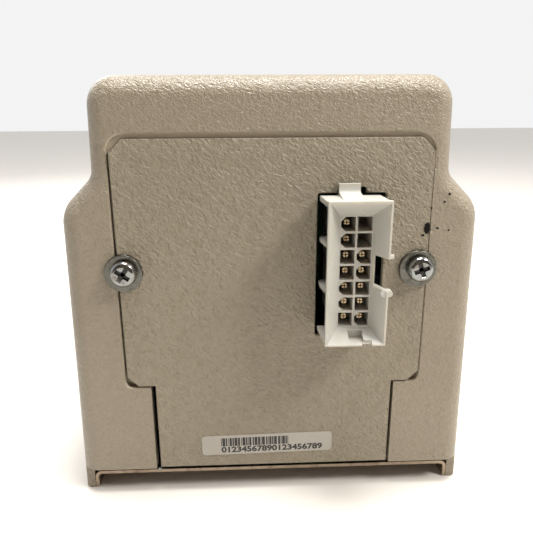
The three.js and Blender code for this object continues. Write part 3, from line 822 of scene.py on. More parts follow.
    def edges(self) -> list[EdgeFacts]:
        """Return the facts of every edge, in order."""
        mesh = self.body.data
        normals: dict[tuple[int, int], list[Vector]] = {}
        for face in mesh.polygons:
            for key in face.edge_keys:
                normals.setdefault(key, []).append(face.normal.copy())
        facts = []
        for edge in mesh.edges:
            ends = [mesh.vertices[i].co / MM for i in edge.vertices]
            sides = normals.get(edge.key, [])
            turn = math.degrees(sides[0].angle(sides[1], 0.0)) if len(sides) == 2 else 0.0
            facts.append(EdgeFacts(ends[0], ends[1], turn))
        return facts

    def round_edges(self, wanted: EdgeTest, radius: float, segments: int = 3, safe: bool = False) -> "Blank":
        """Round the edges that fit a test.

        Args:
            wanted: the test.
            radius: how far the rounding starts from the edge.
            segments: how many faces cross it.
            safe: stop the rounding where it would run into itself.

        Returns:
            The same blank.
        """
        chosen = [i for i, edge in enumerate(self.edges()) if wanted(edge)]

        def work() -> None:
            """Bevel the chosen edges."""
            bpy.ops.mesh.bevel(offset=radius * MM, segments=segments, clamp_overlap=safe)

        if chosen:
            self._edit(Element.EDGE, chosen, work)
        return self

    def faces_where(self, wanted: FaceTest) -> list[int]:
        """Return the faces whose middle (in millimetres) and normal fit a test."""
        return [f.index for f in self.body.data.polygons if wanted(f.center / MM, f.normal)]

    def grow(self, wanted: FaceTest, shift: Point) -> "Blank":
        """Extrude the faces that fit a test by a distance."""

        def work() -> None:
            """Extrude the chosen faces."""
            bpy.ops.mesh.extrude_region_move(TRANSFORM_OT_translate={"value": [s * MM for s in shift]})

        self._edit(Element.FACE, self.faces_where(wanted), work)
        return self

    def taper(self, wanted: FaceTest, scale: Point, centre: Point = (0, 0, 0)) -> "Blank":
        """Scale the faces that fit a test about a point."""
        about = [c * MM for c in centre]
        chosen = self.faces_where(wanted)
        self._edit(Element.FACE, chosen, lambda: bpy.ops.transform.resize(value=scale, center_override=about))
        return self

    def slice(self, point: Point, normal: Point, remove: bool = True) -> "Blank":
        """Cut the piece by a plane, and remove what lies on its outer side if asked."""
        plane = {"plane_co": [p * MM for p in point], "plane_no": normal}
        return self._edit_all(lambda: bpy.ops.mesh.bisect(**plane, use_fill=remove, clear_outer=remove))

    def fuse(self, kind: Fusion, *others: "Blank") -> "Blank":
        """Join other solids to this one, or cut them from it, and use them up."""
        for other in others:
            self._apply("BOOLEAN", operation=kind.value, solver="EXACT", object=other.body)
            bpy.data.objects.remove(other.body)
        return self

    def add(self, *others: "Blank") -> "Blank":
        """Join other solids to this one."""
        return self.fuse(Fusion.JOIN, *others)

    def cut(self, *others: "Blank") -> "Blank":
        """Cut other solids from this one."""
        return self.fuse(Fusion.CUT, *others)

    def gather(self, *others: "Blank") -> "Blank":
        """Put separate solids into this object without fusing them."""
        self._hold()
        for other in others:
            other.body.select_set(True)
        bpy.ops.object.join()
        return self

    def dress(self, finish: Finish, *others: tuple[Finish, FaceTest]) -> "Blank":
        """Give the piece its finish, and other finishes to the faces that fit their tests."""
        mesh = self.body.data
        mesh.materials.clear()
        mesh.materials.append(finish.material())
        mesh.polygons.foreach_set("material_index", [0] * len(mesh.polygons))
        for slot, (other, wanted) in enumerate(others, 1):
            mesh.materials.append(other.material())
            for i in self.faces_where(wanted):
                mesh.polygons[i].material_index = slot
        return self

    def polish(self, angle: float = 32.0) -> "Blank":
        """Clean the mesh and shade it smoothly across everything but its sharp edges."""

        def work() -> None:
            """Merge what booleans left doubled."""
            bpy.ops.mesh.remove_doubles(threshold=2e-7)
            bpy.ops.mesh.dissolve_degenerate(threshold=2e-7)

        self._edit_all(work)
        self._hold()
        bpy.ops.object.shade_smooth_by_angle(angle=math.radians(angle))
        self._apply("WEIGHTED_NORMAL", keep_sharp=True, mode="FACE_AREA", weight=60)
        return self

    def fit(self, body: str, slot: str, node: str) -> None:
        """Mount the finished piece on its body in place of its CAD node.

        Args:
            body: the CAD body that it moves with.
            slot: the record's material slot; not used.
            node: the CAD node that it stands for.
        """
        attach(self.body, body)
        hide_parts(node)
        log.info("%s: %d faces, on %s", self.body.name, len(self.body.data.polygons), body)


def node_box(node: str) -> tuple[Vector, Vector]:
    """Return the lowest and highest corner of a CAD node, in millimetres."""
    low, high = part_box(node)
    return low / MM, high / MM


def node_middle(node: str) -> Point:
    """Return the middle of a CAD node's box, in millimetres."""
    low, high = node_box(node)
    return tuple((a + b) / 2 for a, b in zip(low, high))


def body_of(node: str) -> str:
    """Return the body that a CAD node belongs to."""
    return next(body for body, nodes in frame["record"]["behaviour"]["bodies"].items() if node in nodes)


# ---- Casing ------------------------------------------------------------------------------------


# How far to the side a cover screw stands, and how high.
SCREW_PLACE = (38.9, 68.9)


@dataclass
class Section:
    """One level of the casing's outline."""

    z: float
    half: float
    radius: float = 0.0


@dataclass
class CasingForm:
    """The outer form that the housing and the bezel share."""

    wall: float = 3.1
    back_wall: float = 3.5
    rim_radius: float = 5.0
    foot_radius: float = 1.9
    below: float = 10.0
    sections: tuple[Section, ...] = ()

    def __post_init__(self) -> None:
        """Take the height and the foot from the frame."""
        _, high = node_box("housing_shell")
        self.height = high.z
        self.back = high.y
        self.foot_half = high.x
        self.sections = (
            Section(self.height, 45.6, 7.2),
            Section(93.3, 46.3, 4.0),
            Section(84.9, 54.7, 8.5),
            Section(0.0, self.foot_half),
        )

    def _levels(self, depth: float) -> list[Section]:
        """Return the sections moved inwards by a depth, with the lowest one well below the feet."""
        top, high, low, foot = self.sections
        drop = depth * math.tan(math.radians(22.5))
        spread = (foot.half - low.half) * self.below / low.z
        return [
            Section(top.z - depth, top.half - depth, top.radius),
            Section(high.z - drop, high.half - depth, high.radius),
            Section(low.z - drop, low.half - depth, low.radius),
            Section(-self.below, foot.half + spread - depth),
        ]

    def block(self, name: str, front: float, back: float, depth: float = 0.0) -> Blank:
        """Add the casing's outline as a solid between two depths along Y.

        Args:
            name: the piece's name.
            front: the lower Y.
            back: the higher Y.
            depth: how far the outline is moved inwards.

        Returns:
            The block, with the corners of its outline rounded where it isn't moved inwards.
        """
        levels = self._levels(depth)
        top, second = levels[0], levels[1]
        blank = Blank.block(name, (-second.half, front, second.z), (second.half, back, top.z))
        blank.taper(lambda _, n: n.z > 0.9, (top.half / second.half, 1, 1))
        for above, below in zip(levels[1:], levels[2:]):
            drop = (0, 0, below.z - above.z)
            blank.grow(lambda _, n: n.z < -0.999, drop)
            blank.taper(lambda _, n: n.z < -0.999, (below.half / above.half, 1, 1))
        blank.merge_flat()
        if not depth:
            self._round_outline(blank, levels)
        return blank

    def _round_outline(self, blank: Blank, levels: list[Section]) -> None:
        """Round each corner of the outline by its own radius.

        Args:
            blank: the block.
            levels: the sections of its outline, from the top down.
        """
        outline = [(0.0, self.height), *[(s.half, s.z) for s in levels]]
        for i, section in enumerate(levels[:-1], 1):
            before, here, after = (Vector(outline[k]) for k in (i - 1, i, i + 1))
            turn = (here - before).angle(after - here)
            offset = section.radius * math.tan(turn / 2)

            def corner(edge: EdgeFacts, s: Section = section) -> bool:
                """Tell whether the edge is this corner of the outline."""
                return edge.along(Axis.Y) and edge.at(Axis.Z, s.z) and abs(abs(edge.start.x) - s.half) < 0.05

            blank.round_edges(corner, offset, 10)

    def trim(self, blank: Blank) -> None:
        """Cut a block off at the feet and round the edge there."""
        blank.slice((0, 0, 0), (0, 0, -1))
        blank.cut(*self._foot_corners())

    def _foot_corners(self) -> list[Blank]:
        """Return the tools that round the outer lower corner of each foot."""
        radius = self.foot_radius
        tools = []
        for side in (-1, 1):
            middle = side * (self.foot_half - radius)
            xs = sorted((middle, side * (self.foot_half + 2)))
            corner = Blank.block("foot_corner", (xs[0], -60, -2), (xs[1], 60, radius))
            corner.cut(Blank.bar("foot_round", Axis.Y, (middle, 0, radius), 130, radius, sides=48))
            tools.append(corner)
        return tools

    def on_rim(self, edge: EdgeFacts, y: float) -> bool:
        """Tell whether an edge is part of the outline's rim at that depth."""
        return edge.at(Axis.Y, y) and edge.turn > 60 and not edge.at(Axis.Z, -self.below)


@dataclass
class HousingShell:
    """The moulded shell, open at the front and below, with a recess for the rear cover."""

    form: CasingForm
    foot_setback: float = 3.0
    back_bottom: float = 8.1
    recess_half: float = 41.25
    recess_top: float = 104.0
    recess_bottom: float = 34.7
    recess_depth: float = 2.0
    shelf_depth: float = 0.8
    opening_half: float = 34.4
    opening_top: float = 96.0
    seat_cut: float = 3.8
    border_radius: float = 0.5
    post: tuple[float, float, float, float] = (38.0, 18.0, 92.0, 3.5)
    post_front: float = -8.36
    post_sink: float = 0.5
    screw_boss: tuple[float, float, float] = (4.4, 9.5, 22.5)
    tray_boss: tuple[float, float, float] = (46.5, 14.5, 4.0)
    tray_boss_half: float = 4.5
    tray_boss_z: tuple[float, float] = (5.64, 15.0)
    # Each round feature's middle, length and radius.
    post_peg: tuple[float, float, float] = (-9.2, 3.6, 1.4)
    post_bore: tuple[float, float, float] = (-4.7, 10.6, 1.3)
    screw_bore: tuple[float, float, float] = (22.0, 22.0, 2.15)
    tray_bore: tuple[float, float, float] = (6.5, 13.0, 1.55)

    def build(self) -> None:
        """Build, dress and fit the shell."""
        low, _ = node_box("housing_shell")
        back = self.form.back
        shell = self.form.block("housing_shell_finished", low.y, back)
        shell.round_edges(lambda edge: self.form.on_rim(edge, back), self.form.rim_radius, 9)
        shell.round_edges(lambda e: e.at(Axis.Y, low.y) and e.turn > 60 and e.end.z > -5, 0.35, 2)
        self.form.trim(shell)
        shell.cut(self.form.block("inside", low.y - 5, back - self.form.back_wall, self.form.wall))
        shell.cut(*self._clearances())
        self._round_recess(shell)
        shell.add(*self._fittings())
        shell.cut(*self._holes())
        shell.polish()
        # The recess and its border get the lighter copy of the paint: painted light.
        shell.dress(BOOK.casing, (BOOK.recess, self._in_recess))
        shell.fit("casing", "casing", "housing_shell")

    def _clearances(self) -> list[Blank]:
        """Return the tools that cut the recess, the opening and the space between the feet."""
        back = self.form.back
        half = self.recess_half
        bottom = self.recess_bottom
        seat_top = node_box("rear_cover")[1].z + 0.03
        top = self.recess_top
        shelf = Blank.block("shelf", (-half, back - self.shelf_depth, bottom), (half, back + 7, top))
        seat = Blank.block("seat", (-half, back - self.recess_depth, bottom), (half, back + 9, seat_top))
        shelf.round_edges(lambda e: e.along(Axis.Y) and e.at(Axis.Z, top), 5.0, 8)
        seat.round_edges(lambda e: e.along(Axis.Y) and e.at(Axis.Z, seat_top), self.seat_cut, 1)
        for tool in (shelf, seat):
            tool.round_edges(lambda e: e.along(Axis.Y) and e.at(Axis.Z, bottom), 2.0, 5)
        opening_low = (-self.opening_half, back - 8, -9)
        opening = Blank.block("opening", opening_low, (self.opening_half, back + 8, self.opening_top))
        opening.round_edges(lambda e: e.along(Axis.Y) and e.at(Axis.Z, self.opening_top), 3.0, 4)
        under_low = (-80, back - self.foot_setback, -9)
        under = Blank.block("under_back", under_low, (80, back + 9, self.back_bottom))
        foot = self.form.foot_half - self.form.wall + 0.2
        between = Blank.block("between_feet", (-foot, -60, -11), (foot, back + 11, self.back_bottom))
        return [shelf, seat, opening, under, between]

    def _round_recess(self, shell: Blank) -> None:
        """Soften the border of the recess and the lower edges of the back face."""
        back = self.form.back
        low = (-self.recess_half, back, self.back_bottom + 0.1)
        high = (self.recess_half, back, self.recess_top)
        shell.round_edges(lambda e: e.turn > 50 and e.within(low, high), self.border_radius, 4)

    def _fittings(self) -> list[Blank]:
        """Return the bosses and posts inside the shell."""
        back = self.form.back
        screw_x, screw_z = SCREW_PLACE
        radius, start, end = self.screw_boss
        post_x, post_low, post_high, post_radius = self.post
        tray_x, tray_y, tray_half = self.tray_boss
        outer = self.form.foot_half - self.form.wall / 2
        pieces = []
        for side in (-1, 1):
            middle = (side * screw_x, (start + end) / 2, screw_z)
            pieces.append(Blank.bar("screw_boss", Axis.Y, middle, end - start, radius, sides=32))
            for z in (post_low, post_high):
                length = back - self.form.back_wall + self.post_sink - self.post_front
                middle = (side * post_x, self.post_front + length / 2, z)
                pieces.append(Blank.bar("post", Axis.Y, middle, length, post_radius, sides=24))
                if not self._takes_screw(side, z):
                    y, length, radius_of_peg = self.post_peg
                    middle = (side * post_x, y, z)
                    pieces.append(Blank.bar("peg", Axis.Y, middle, length, radius_of_peg, sides=16))
            x0, x1 = sorted((side * (tray_x - self.tray_boss_half), side * outer))
            z0, z1 = self.tray_boss_z
            for y in (-tray_y, tray_y):
                pieces.append(Blank.block("tray_boss", (x0, y - tray_half, z0), (x1, y + tray_half, z1)))
        return pieces

    def _holes(self) -> list[Blank]:
        """Return the tools that drill the screw holes."""
        screw_x, screw_z = SCREW_PLACE
        tray_x, tray_y, _ = self.tray_boss
        tools = []
        for side in (-1, 1):
            y, *size = self.screw_bore
            tools.append(Blank.bar("screw_bore", Axis.Y, (side * screw_x, y, screw_z), *size, sides=24))
            z, *size = self.tray_bore
            for y in (-tray_y, tray_y):
                tools.append(Blank.bar("tray_bore", Axis.Z, (side * tray_x, y, z), *size, sides=20))
            y, *size = self.post_bore
            for z in self.post[1:3]:
                if self._takes_screw(side, z):
                    tools.append(Blank.bar("post_bore", Axis.Y, (side * self.post[0], y, z), *size, sides=16))
        return tools

    def _takes_screw(self, side: int, z: float) -> bool:
        """Tell whether a board screw goes into that post. The other two posts carry pegs."""
        return (side > 0) == (z > self.form.height / 2)

    def _in_recess(self, middle: Vector, _: Vector) -> bool:
        """Tell whether a face is part of the recess and its border, which get the lighter paint that stands
        for painted light.
        """
        back = self.form.back
        across = abs(middle.x) < self.recess_half + 0.05
        upright = self.recess_bottom - 0.1 < middle.z < self.recess_top + 0.05
        return across and upright and back - self.recess_depth - 0.1 < middle.y < back - 0.01


@dataclass
class RearCover:
    """The plate in the recess, with a tongue below and a window for the connector."""

    shift: float = -0.25
    top_cut: float = 3.4
    step: float = 35.1
    step_cut: float = 3.0
    tongue_half: float = 33.4
    window_low: tuple[float, float] = (-29.3, 49.6)
    window_high: tuple[float, float] = (-11.5, 88.9)
    notch: tuple[float, float, float] = (-20.4, 7.4, 1.5)
    screw_gap: float = 2.5
    edge_radius: float = 0.28

    def build(self) -> None:
        """Build, dress and fit the plate."""
        low, high = node_box("rear_cover")
        half = (high.x - low.x) / 2
        bottom, top = self.step + self.step_cut, high.z - self.top_cut
        plate = Blank.block("rear_cover_finished", (-half, low.y, bottom), (half, high.y, top))
        plate.grow(lambda _, n: n.z > 0.9, (0, 0, self.top_cut))
        plate.taper(lambda _, n: n.z > 0.9, ((half - self.top_cut) / half, 1, 1))
        plate.grow(lambda _, n: n.z < -0.9, (0, 0, -self.step_cut))
        plate.taper(lambda _, n: n.z < -0.9, ((half - self.step_cut) / half, 1, 1))
        for x in (self.tongue_half, -self.tongue_half):
            plate.slice((x, 0, 0), (1, 0, 0), remove=False)
        plate.grow(lambda m, n: n.z < -0.9 and abs(m.x) < self.tongue_half, (0, 0, low.z - self.step))
        plate.placed((self.shift, 0, 0))
        plate.cut(*self._tools(high.y))
        plate.round_edges(lambda e: e.at(Axis.Y, high.y) and e.turn > 60, self.edge_radius, 3)
        plate.polish().dress(BOOK.cover)
        plate.fit("casing", "cover_paint", "rear_cover")

    def _tools(self, back: float) -> list[Blank]:
        """Return the tools that cut the window, its notch and the screw notches."""
        (x0, z0), (x1, z1) = self.window_low, self.window_high
        window = Blank.block("window", (x0, 0, z0), (x1, back + 9, z1))
        window.round_edges(lambda e: e.along(Axis.Y), 0.5, 3)
        middle, width, tall = self.notch
        x0, x1 = middle - width / 2, middle + width / 2
        notch = Blank.block("notch", (x0, 1, z1 - 3), (x1, back + 8, z1 + tall))
        notch.round_edges(lambda e: e.along(Axis.Y) and e.at(Axis.Z, z1 + tall), 0.7, 4)
        tools = [window, notch]
        screw_x, screw_z = SCREW_PLACE
        gap = self.screw_gap
        for side in (-1, 1):
            x0, x1 = sorted((side * screw_x, side * 60))
            tools.append(Blank.bar("screw_round", Axis.Y, (side * screw_x, 20, screw_z), 30, gap, sides=32))
            tools.append(Blank.block("screw_slot", (x0, 1, screw_z - gap), (x1, back + 7, screw_z + gap)))
        return tools


@dataclass
class CoverFasteners:
    """The washer and the pan-head screw at each side of the cover."""

    washer_radius: float = 5.0
    bore_radius: float = 2.25
    head_radius: float = 3.5
    head_round: float = 1.5
    shank_radius: float = 1.9
    arm: float = 2.75
    arm_width: float = 1.3
    recess_depth: float = 1.5
    # How deep the dark insert of painted shade in the cross recess reaches.
    shade_insert_depth: float = 0.75
    turns: tuple[float, float] = (0.35, 0.95)
    washer_drop: float = 0.3

    def build(self) -> None:
        """Build, dress and fit a washer and a screw on each side."""
        x, z = SCREW_PLACE
        for side, turn in ((-1, self.turns[0]), (1, self.turns[1])):
            name = "left" if side < 0 else "right"
            washer = self._washer().placed((side * x + self.washer_drop, 0, z - self.washer_drop))
            # The washer's darker zinc is painted shade.
            washer.polish(40).dress(BOOK.washer)
            washer.fit("casing", "zinc_plate", f"cover_washer_{name}")
            # The dark insert in each cross recess is painted shade.
            screw, recess_shade = (
                piece.placed((0, 0, 0), (0, turn, 0)).placed((side * x, 0, z))
                for piece in (self._screw(), self._recess_shade_insert())
            )
            screw.polish(40).dress(BOOK.zinc).gather(recess_shade)
            screw.fit("casing", "zinc_plate", f"cover_screw_{name}")

    def _washer(self) -> Blank:
        """Return a washer about the Y axis."""
        low, high = node_box("cover_washer_left")
        middle = (0, (low.y + high.y) / 2, 0)
        washer = Blank.bar("cover_washer", Axis.Y, middle, high.y - low.y, self.washer_radius, sides=72)
        washer.cut(Blank.bar("bore", Axis.Y, middle, 9, self.bore_radius, sides=40))
        return washer.round_edges(lambda e: e.turn > 60 and e.at(Axis.Y, high.y), 0.22, 3)

    def _screw(self) -> Blank:
        """Return a screw about the Y axis, with a domed head and a cross recess."""
        low, high = node_box("cover_screw_left")
        seat = node_box("cover_washer_left")[1].y + 0.04
        middle = (0, (seat + high.y) / 2, 0)
        head = Blank.bar("cover_screw", Axis.Y, middle, high.y - seat, self.head_radius, sides=72)
        head.round_edges(lambda e: e.turn > 60 and e.at(Axis.Y, high.y), self.head_round, 9)
        head.round_edges(lambda e: e.turn > 60 and e.at(Axis.Y, seat), 0.2, 2)
        middle = (0, (low.y + seat) / 2 + 0.5, 0)
        shank = Blank.bar("shank", Axis.Y, middle, seat - low.y + 1, self.shank_radius, sides=36)
        shank.round_edges(lambda e: e.turn > 60 and e.start.y < low.y + 2, 0.6, 2)
        head.add(shank)
        head.cut(*self._recess(high.y))
        return head

    def _recess_shade_insert(self) -> Blank:
        """Return a dark insert in the bottom of the cross recess: painted shade."""
        top = node_box("cover_screw_left")[1].y
        long, wide = self.arm - 0.35, self.arm_width / 2 - 0.12
        low, high = top - self.recess_depth - 0.1, top - self.shade_insert_depth
        recess_shade = Blank.block("recess_shade", (-long, low, -wide), (long, high, wide))
        recess_shade.gather(Blank.block("recess_shade", (-wide, low, -long), (wide, high, long)))
        return recess_shade.dress(BOOK.dark)

    def _recess(self, top: float) -> list[Blank]:
        """Return the tools for a cross recess that narrows as it goes down."""
        long, wide = self.arm, self.arm_width / 2
        bottom = top - self.recess_depth
        tools = []
        for x, z, narrow in ((long, wide, (0.4, 1, 0.75)), (wide, long, (0.75, 1, 0.4))):
            arm = Blank.block("arm", (-x, bottom, -z), (x, top + 1, z))
            arm.taper(lambda _, n: n.y < -0.9, narrow, (0, bottom, 0))
            tools.append(arm)
        tools.append(Blank.bar("pit", Axis.Y, (0, top - 0.9, 0), 2.4, 0.35, 1.15, sides=16))
        return tools


@dataclass
class BaseTray:
    """The bent steel sheet under the casing, with a flange down each side."""

    thickness: float = 1.1
    floor: float = 4.5
    bend_radius: float = 2.2
    screw_x: float = 46.5
    screw_y: float = 14.5
    spot_place: tuple[float, float] = (33.9, 6.3)
    spot_radius: float = 0.6

    def build(self) -> None:
        """Build, dress and fit the tray."""
        low, high = node_box("base_tray")
        sheet = Blank.block("base_tray_finished", tuple(low), tuple(high))
        sheet.round_edges(lambda e: e.along(Axis.Y) and e.at(Axis.Z, high.z), self.bend_radius, 8)
        inner = high.x - self.thickness
        channel = Blank.block("channel", (-inner, low.y - 5, -5), (inner, high.y + 5, self.floor))
        bend = self.bend_radius - self.thickness
        channel.round_edges(lambda e: e.along(Axis.Y) and e.at(Axis.Z, self.floor), bend, 6)
        sheet.cut(channel)
        for side in (-1, 1):
            for y in (-self.screw_y, self.screw_y):
                middle = (side * self.screw_x, y, self.floor + self.thickness / 2)
                sheet.cut(Blank.bar("countersink", Axis.Z, middle, self.thickness + 0.1, 3.0, 1.75, sides=32))

        def inner_foot(edge: EdgeFacts) -> bool:
            """Tell whether the edge is the inner one under a flange."""
            return edge.along(Axis.Y) and edge.at(Axis.Z, 0) and abs(edge.start.x) < inner + 0.01

        sheet.round_edges(inner_foot, 0.7, 5)
        sheet.round_edges(lambda e: e.turn > 60 and (e.at(Axis.Y, low.y) or e.at(Axis.Y, high.y)), 0.16, 2)
        sheet.polish(28).dress(BOOK.sheet_steel)
        x, z = self.spot_place
        spot = Blank.bar("weld_spot", Axis.Y, (x, high.y + 0.4, z), 1.1, self.spot_radius, sides=24)
        spot.round_edges(lambda e: e.turn > 60, 0.4, 5)
        sheet.gather(spot.polish(60).dress(BOOK.zinc))
        sheet.fit("casing", "tray_steel", "base_tray")


@dataclass
class SerialLabel:
    """The film label on the tongue, with bars and a row of counting digits."""

    width: float = 38.0
    height: float = 6.3
    corner: float = 0.95
    turn: float = 0.018
    print_thickness: float = 0.012
    bars_left: float = -13.4
    bars_width: float = 19.6
    bars_low: float = -0.35
    bars_high: float = 2.35
    digits: str = "01234567890123456789"
    digits_width: float = 29.6
    digit_height: float = 1.75

    def build(self) -> None:
        """Build, dress and fit the label."""
        low, high = node_box("serial_label")
        thickness = high.y - low.y - self.print_thickness - 0.002
        x, z = self.width / 2, self.height / 2
        film = Blank.block("serial_label_finished", (-x, 0, -z), (x, thickness, z))
        film.round_edges(lambda e: e.along(Axis.Y), self.corner, 6)
        film.round_edges(lambda e: e.at(Axis.Y, thickness) and e.turn > 60, 0.05, 2)
        film.dress(BOOK.film)
        film.gather(self._bars(thickness).gather(self._digits(thickness)).dress(BOOK.ink))
        x, _, z = node_middle("serial_label")
        film.placed((x, low.y, z), (0, self.turn, 0)).polish()
        film.fit("casing", "label_film", "serial_label")

    def _bars(self, face: float) -> Blank:
        """Return evenly built bars whose widths repeat in a fixed order."""
        widths = [1 + (i * i * 3 + i // 2) % 4 for i in range(28)]
        gaps = [0.8, 0.8, 1.6, 0.8, 0.8]
        total = sum(widths) + sum(gaps[i % len(gaps)] for i in range(len(widths) - 1))
        unit = self.bars_width / total
        x = -self.bars_left
        bars = []
        for i, width in enumerate(widths):
            low = (x - width * unit, face, self.bars_low)
            bars.append(Blank.block("label_bar", low, (x, face + self.print_thickness, self.bars_high)))
            x -= (width + gaps[i % len(gaps)]) * unit
        return bars[0].gather(*bars[1:])

    def _digits(self, face: float) -> Blank:
        """Return the row of digits, facing +Y."""
        row = Blank.lettering("label_digits", self.digits, self.digit_height, self.print_thickness, 0.1)
        spread = self.digits_width * MM / row.body.dimensions.x
        row.taper(lambda *_: True, (spread, 1, 1))
        middle = (-self.bars_left - self.digits_width / 2, face + self.print_thickness / 2, -1.6)
        return row.placed(middle, (0, 0, math.pi))


# ---- Plug connector ----------------------------------------------------------------------------


@dataclass
class PlugConnector:
    """The floating nylon housing and its twelve contacts."""

    edge_radius: float = 0.1
    shortest: float = 0.6

    def build(self) -> None:
        """Finish the housing and the contacts."""
        housing = Blank.from_node("connector_housing_finished", "connector_housing")

        def long_corner(edge: EdgeFacts) -> bool:
            """Tell whether the edge is a corner that is long enough to round."""
            return edge.turn > 50 and (edge.end - edge.start).length > self.shortest

        housing.round_edges(long_corner, self.edge_radius, 2, safe=True)
        housing.polish(30).dress(BOOK.nylon)
        housing.fit("plug_connector", "natural_nylon", "connector_housing")
        for node in sorted(n for n in frame["nodes"] if n.startswith("contact_pin_")):
            pin = Blank.from_node(f"{node}_finished", node)
            pin.polish(40).dress(BOOK.brass)
            pin.fit("plug_connector", "contact_brass", node)


# ---- Front -------------------------------------------------------------------------------------


@dataclass
class FrontBezel:
    """The front moulding, with holes for the keys, the display and the lamp."""

    form: CasingForm
    front_radius: float = 4.0
    face_plate: float = 2.5
    pocket: tuple[float, float, float] = (68.5, 24.5, 1.6)
    view: tuple[float, float] = (61.0, 17.5)
    play: float = 0.3
    lip: float = 0.3
    inside_floor: float = 7.1
    lamp_radius: float = 2.1
    tab_depths: tuple[float, float] = (-30.0, -17.0)
    root_depth: float = -23.9
    tab_thickness: float = 1.6
    top_tab: tuple[float, float] = (28.0, 5.0)
    side_tab: tuple[float, float] = (45.0, 55.0)
    peg_x: float = 32.0
    peg_z: tuple[float, float] = (16.0, 80.0)
    # A peg's and its tip's middle, length and radius.
    peg: tuple[float, float, float] = (-30.42, 5.56, 2.6)
    peg_tip: tuple[float, float, float] = (-27.2, 4.0, 1.2)

    def build(self) -> None:
        """Build, dress and fit the bezel."""
        front = node_box("front_bezel")[0].y
        back = node_box("front_gasket")[0].y - 0.04
        bezel = self.form.block("front_bezel_finished", front, back)
        bezel.round_edges(lambda edge: self.form.on_rim(edge, front), self.front_radius, 8)
        bezel.round_edges(lambda e: e.at(Axis.Y, back) and e.turn > 60 and e.end.z > -5, 0.35, 2)
        self.form.trim(bezel)
        inside = self.form.block("inside", front + self.face_plate, back + 5, self.form.wall)
        inside.slice((0, 0, self.inside_floor), (0, 0, -1))
        bezel.cut(inside)
        bezel.cut(*self._clearances(front))
        bezel.round_edges(lambda e: e.at(Axis.Y, front) and e.turn > 60 and e.start.z > 8, self.lip, 3)
        bezel.add(*self._tabs())
        bezel.polish().dress(BOOK.casing)
        bezel.fit("casing", "casing", "front_bezel")

    def _clearances(self, front: float) -> list[Blank]:
        """Return the tools that cut the foot channel, the display, the keys and the lamp."""
        inner = node_box("base_tray")[1].x - 1
        tools = [Blank.block("channel", (-inner, -60, -10), (inner, 10, 4.5))]
        z = node_middle("display_window")[2]
        width, tall, deep = self.pocket
        tools.append(self._pocket(0, z, width, tall, front - 5, front + deep, 2.2))
        tools.append(self._pocket(0, z, *self.view, front - 6, front + 6, 1.5))
        for name in KEYS:
            low, high = node_box(name)
            size = (high.x - low.x - 2 + 2 * self.play, high.z - low.z - 2 + 2 * self.play)
            x, _, z = node_middle(name)
            tools.append(self._pocket(x, z, *size, front - 7, front + 6, 2.2))
        x, _, z = node_middle("status_light_pipe")
        tools.append(Blank.bar("lamp_hole", Axis.Y, (x, front, z), 14, self.lamp_radius, sides=32))
        return tools

    @staticmethod
    def _pocket(x: float, z: float, width: float, tall: float, y0: float, y1: float, radius: float) -> Blank:
        """Return a block with rounded upright corners, centred at x and z."""
        tool = Blank.block("pocket", (x - width / 2, y0, z - tall / 2), (x + width / 2, y1, z + tall / 2))
        return tool.round_edges(lambda e: e.along(Axis.Y), radius, 6)

    def _tabs(self) -> list[Blank]:
        """Return the tabs that line the bezel up with the shell and the pegs for the front board."""
        top = self.form.height - self.form.wall - 0.5
        side = self.form.foot_half - self.form.wall - 1.6
        start, end = self.tab_depths
        root, thick = self.root_depth, self.tab_thickness
        middle, half = self.top_tab
        z0, z1 = self.side_tab
        pieces = []
        for s in (-1, 1):
            left, right = s * middle - half, s * middle + half
            pieces.append(Blank.block("top_tab", (left, start, top - thick), (right, end, top)))
            pieces.append(Blank.block("top_root", (left, start, top - 1), (right, root, top + 1)))
            x0, x1 = sorted((s * side, s * (side - thick)))
            pieces.append(Blank.block("side_tab", (x0, start, z0), (x1, end, z1)))
            x0, x1 = sorted((s * (side - thick), s * (side + 2)))
            pieces.append(Blank.block("side_root", (x0, start + 0.5, z0), (x1, root, z1)))
            for z in self.peg_z:
                for name, sides, (y, *size) in (("peg", 24, self.peg), ("peg_tip", 20, self.peg_tip)):
                    pieces.append(Blank.bar(name, Axis.Y, (s * self.peg_x, y, z), *size, sides=sides))
        return pieces


# What each key says. The clear and enter keys carry arrows.
KEYS = {f"key_{digit}": digit for digit in "1234567890"} | {"key_clear": "", "key_enter": ""}


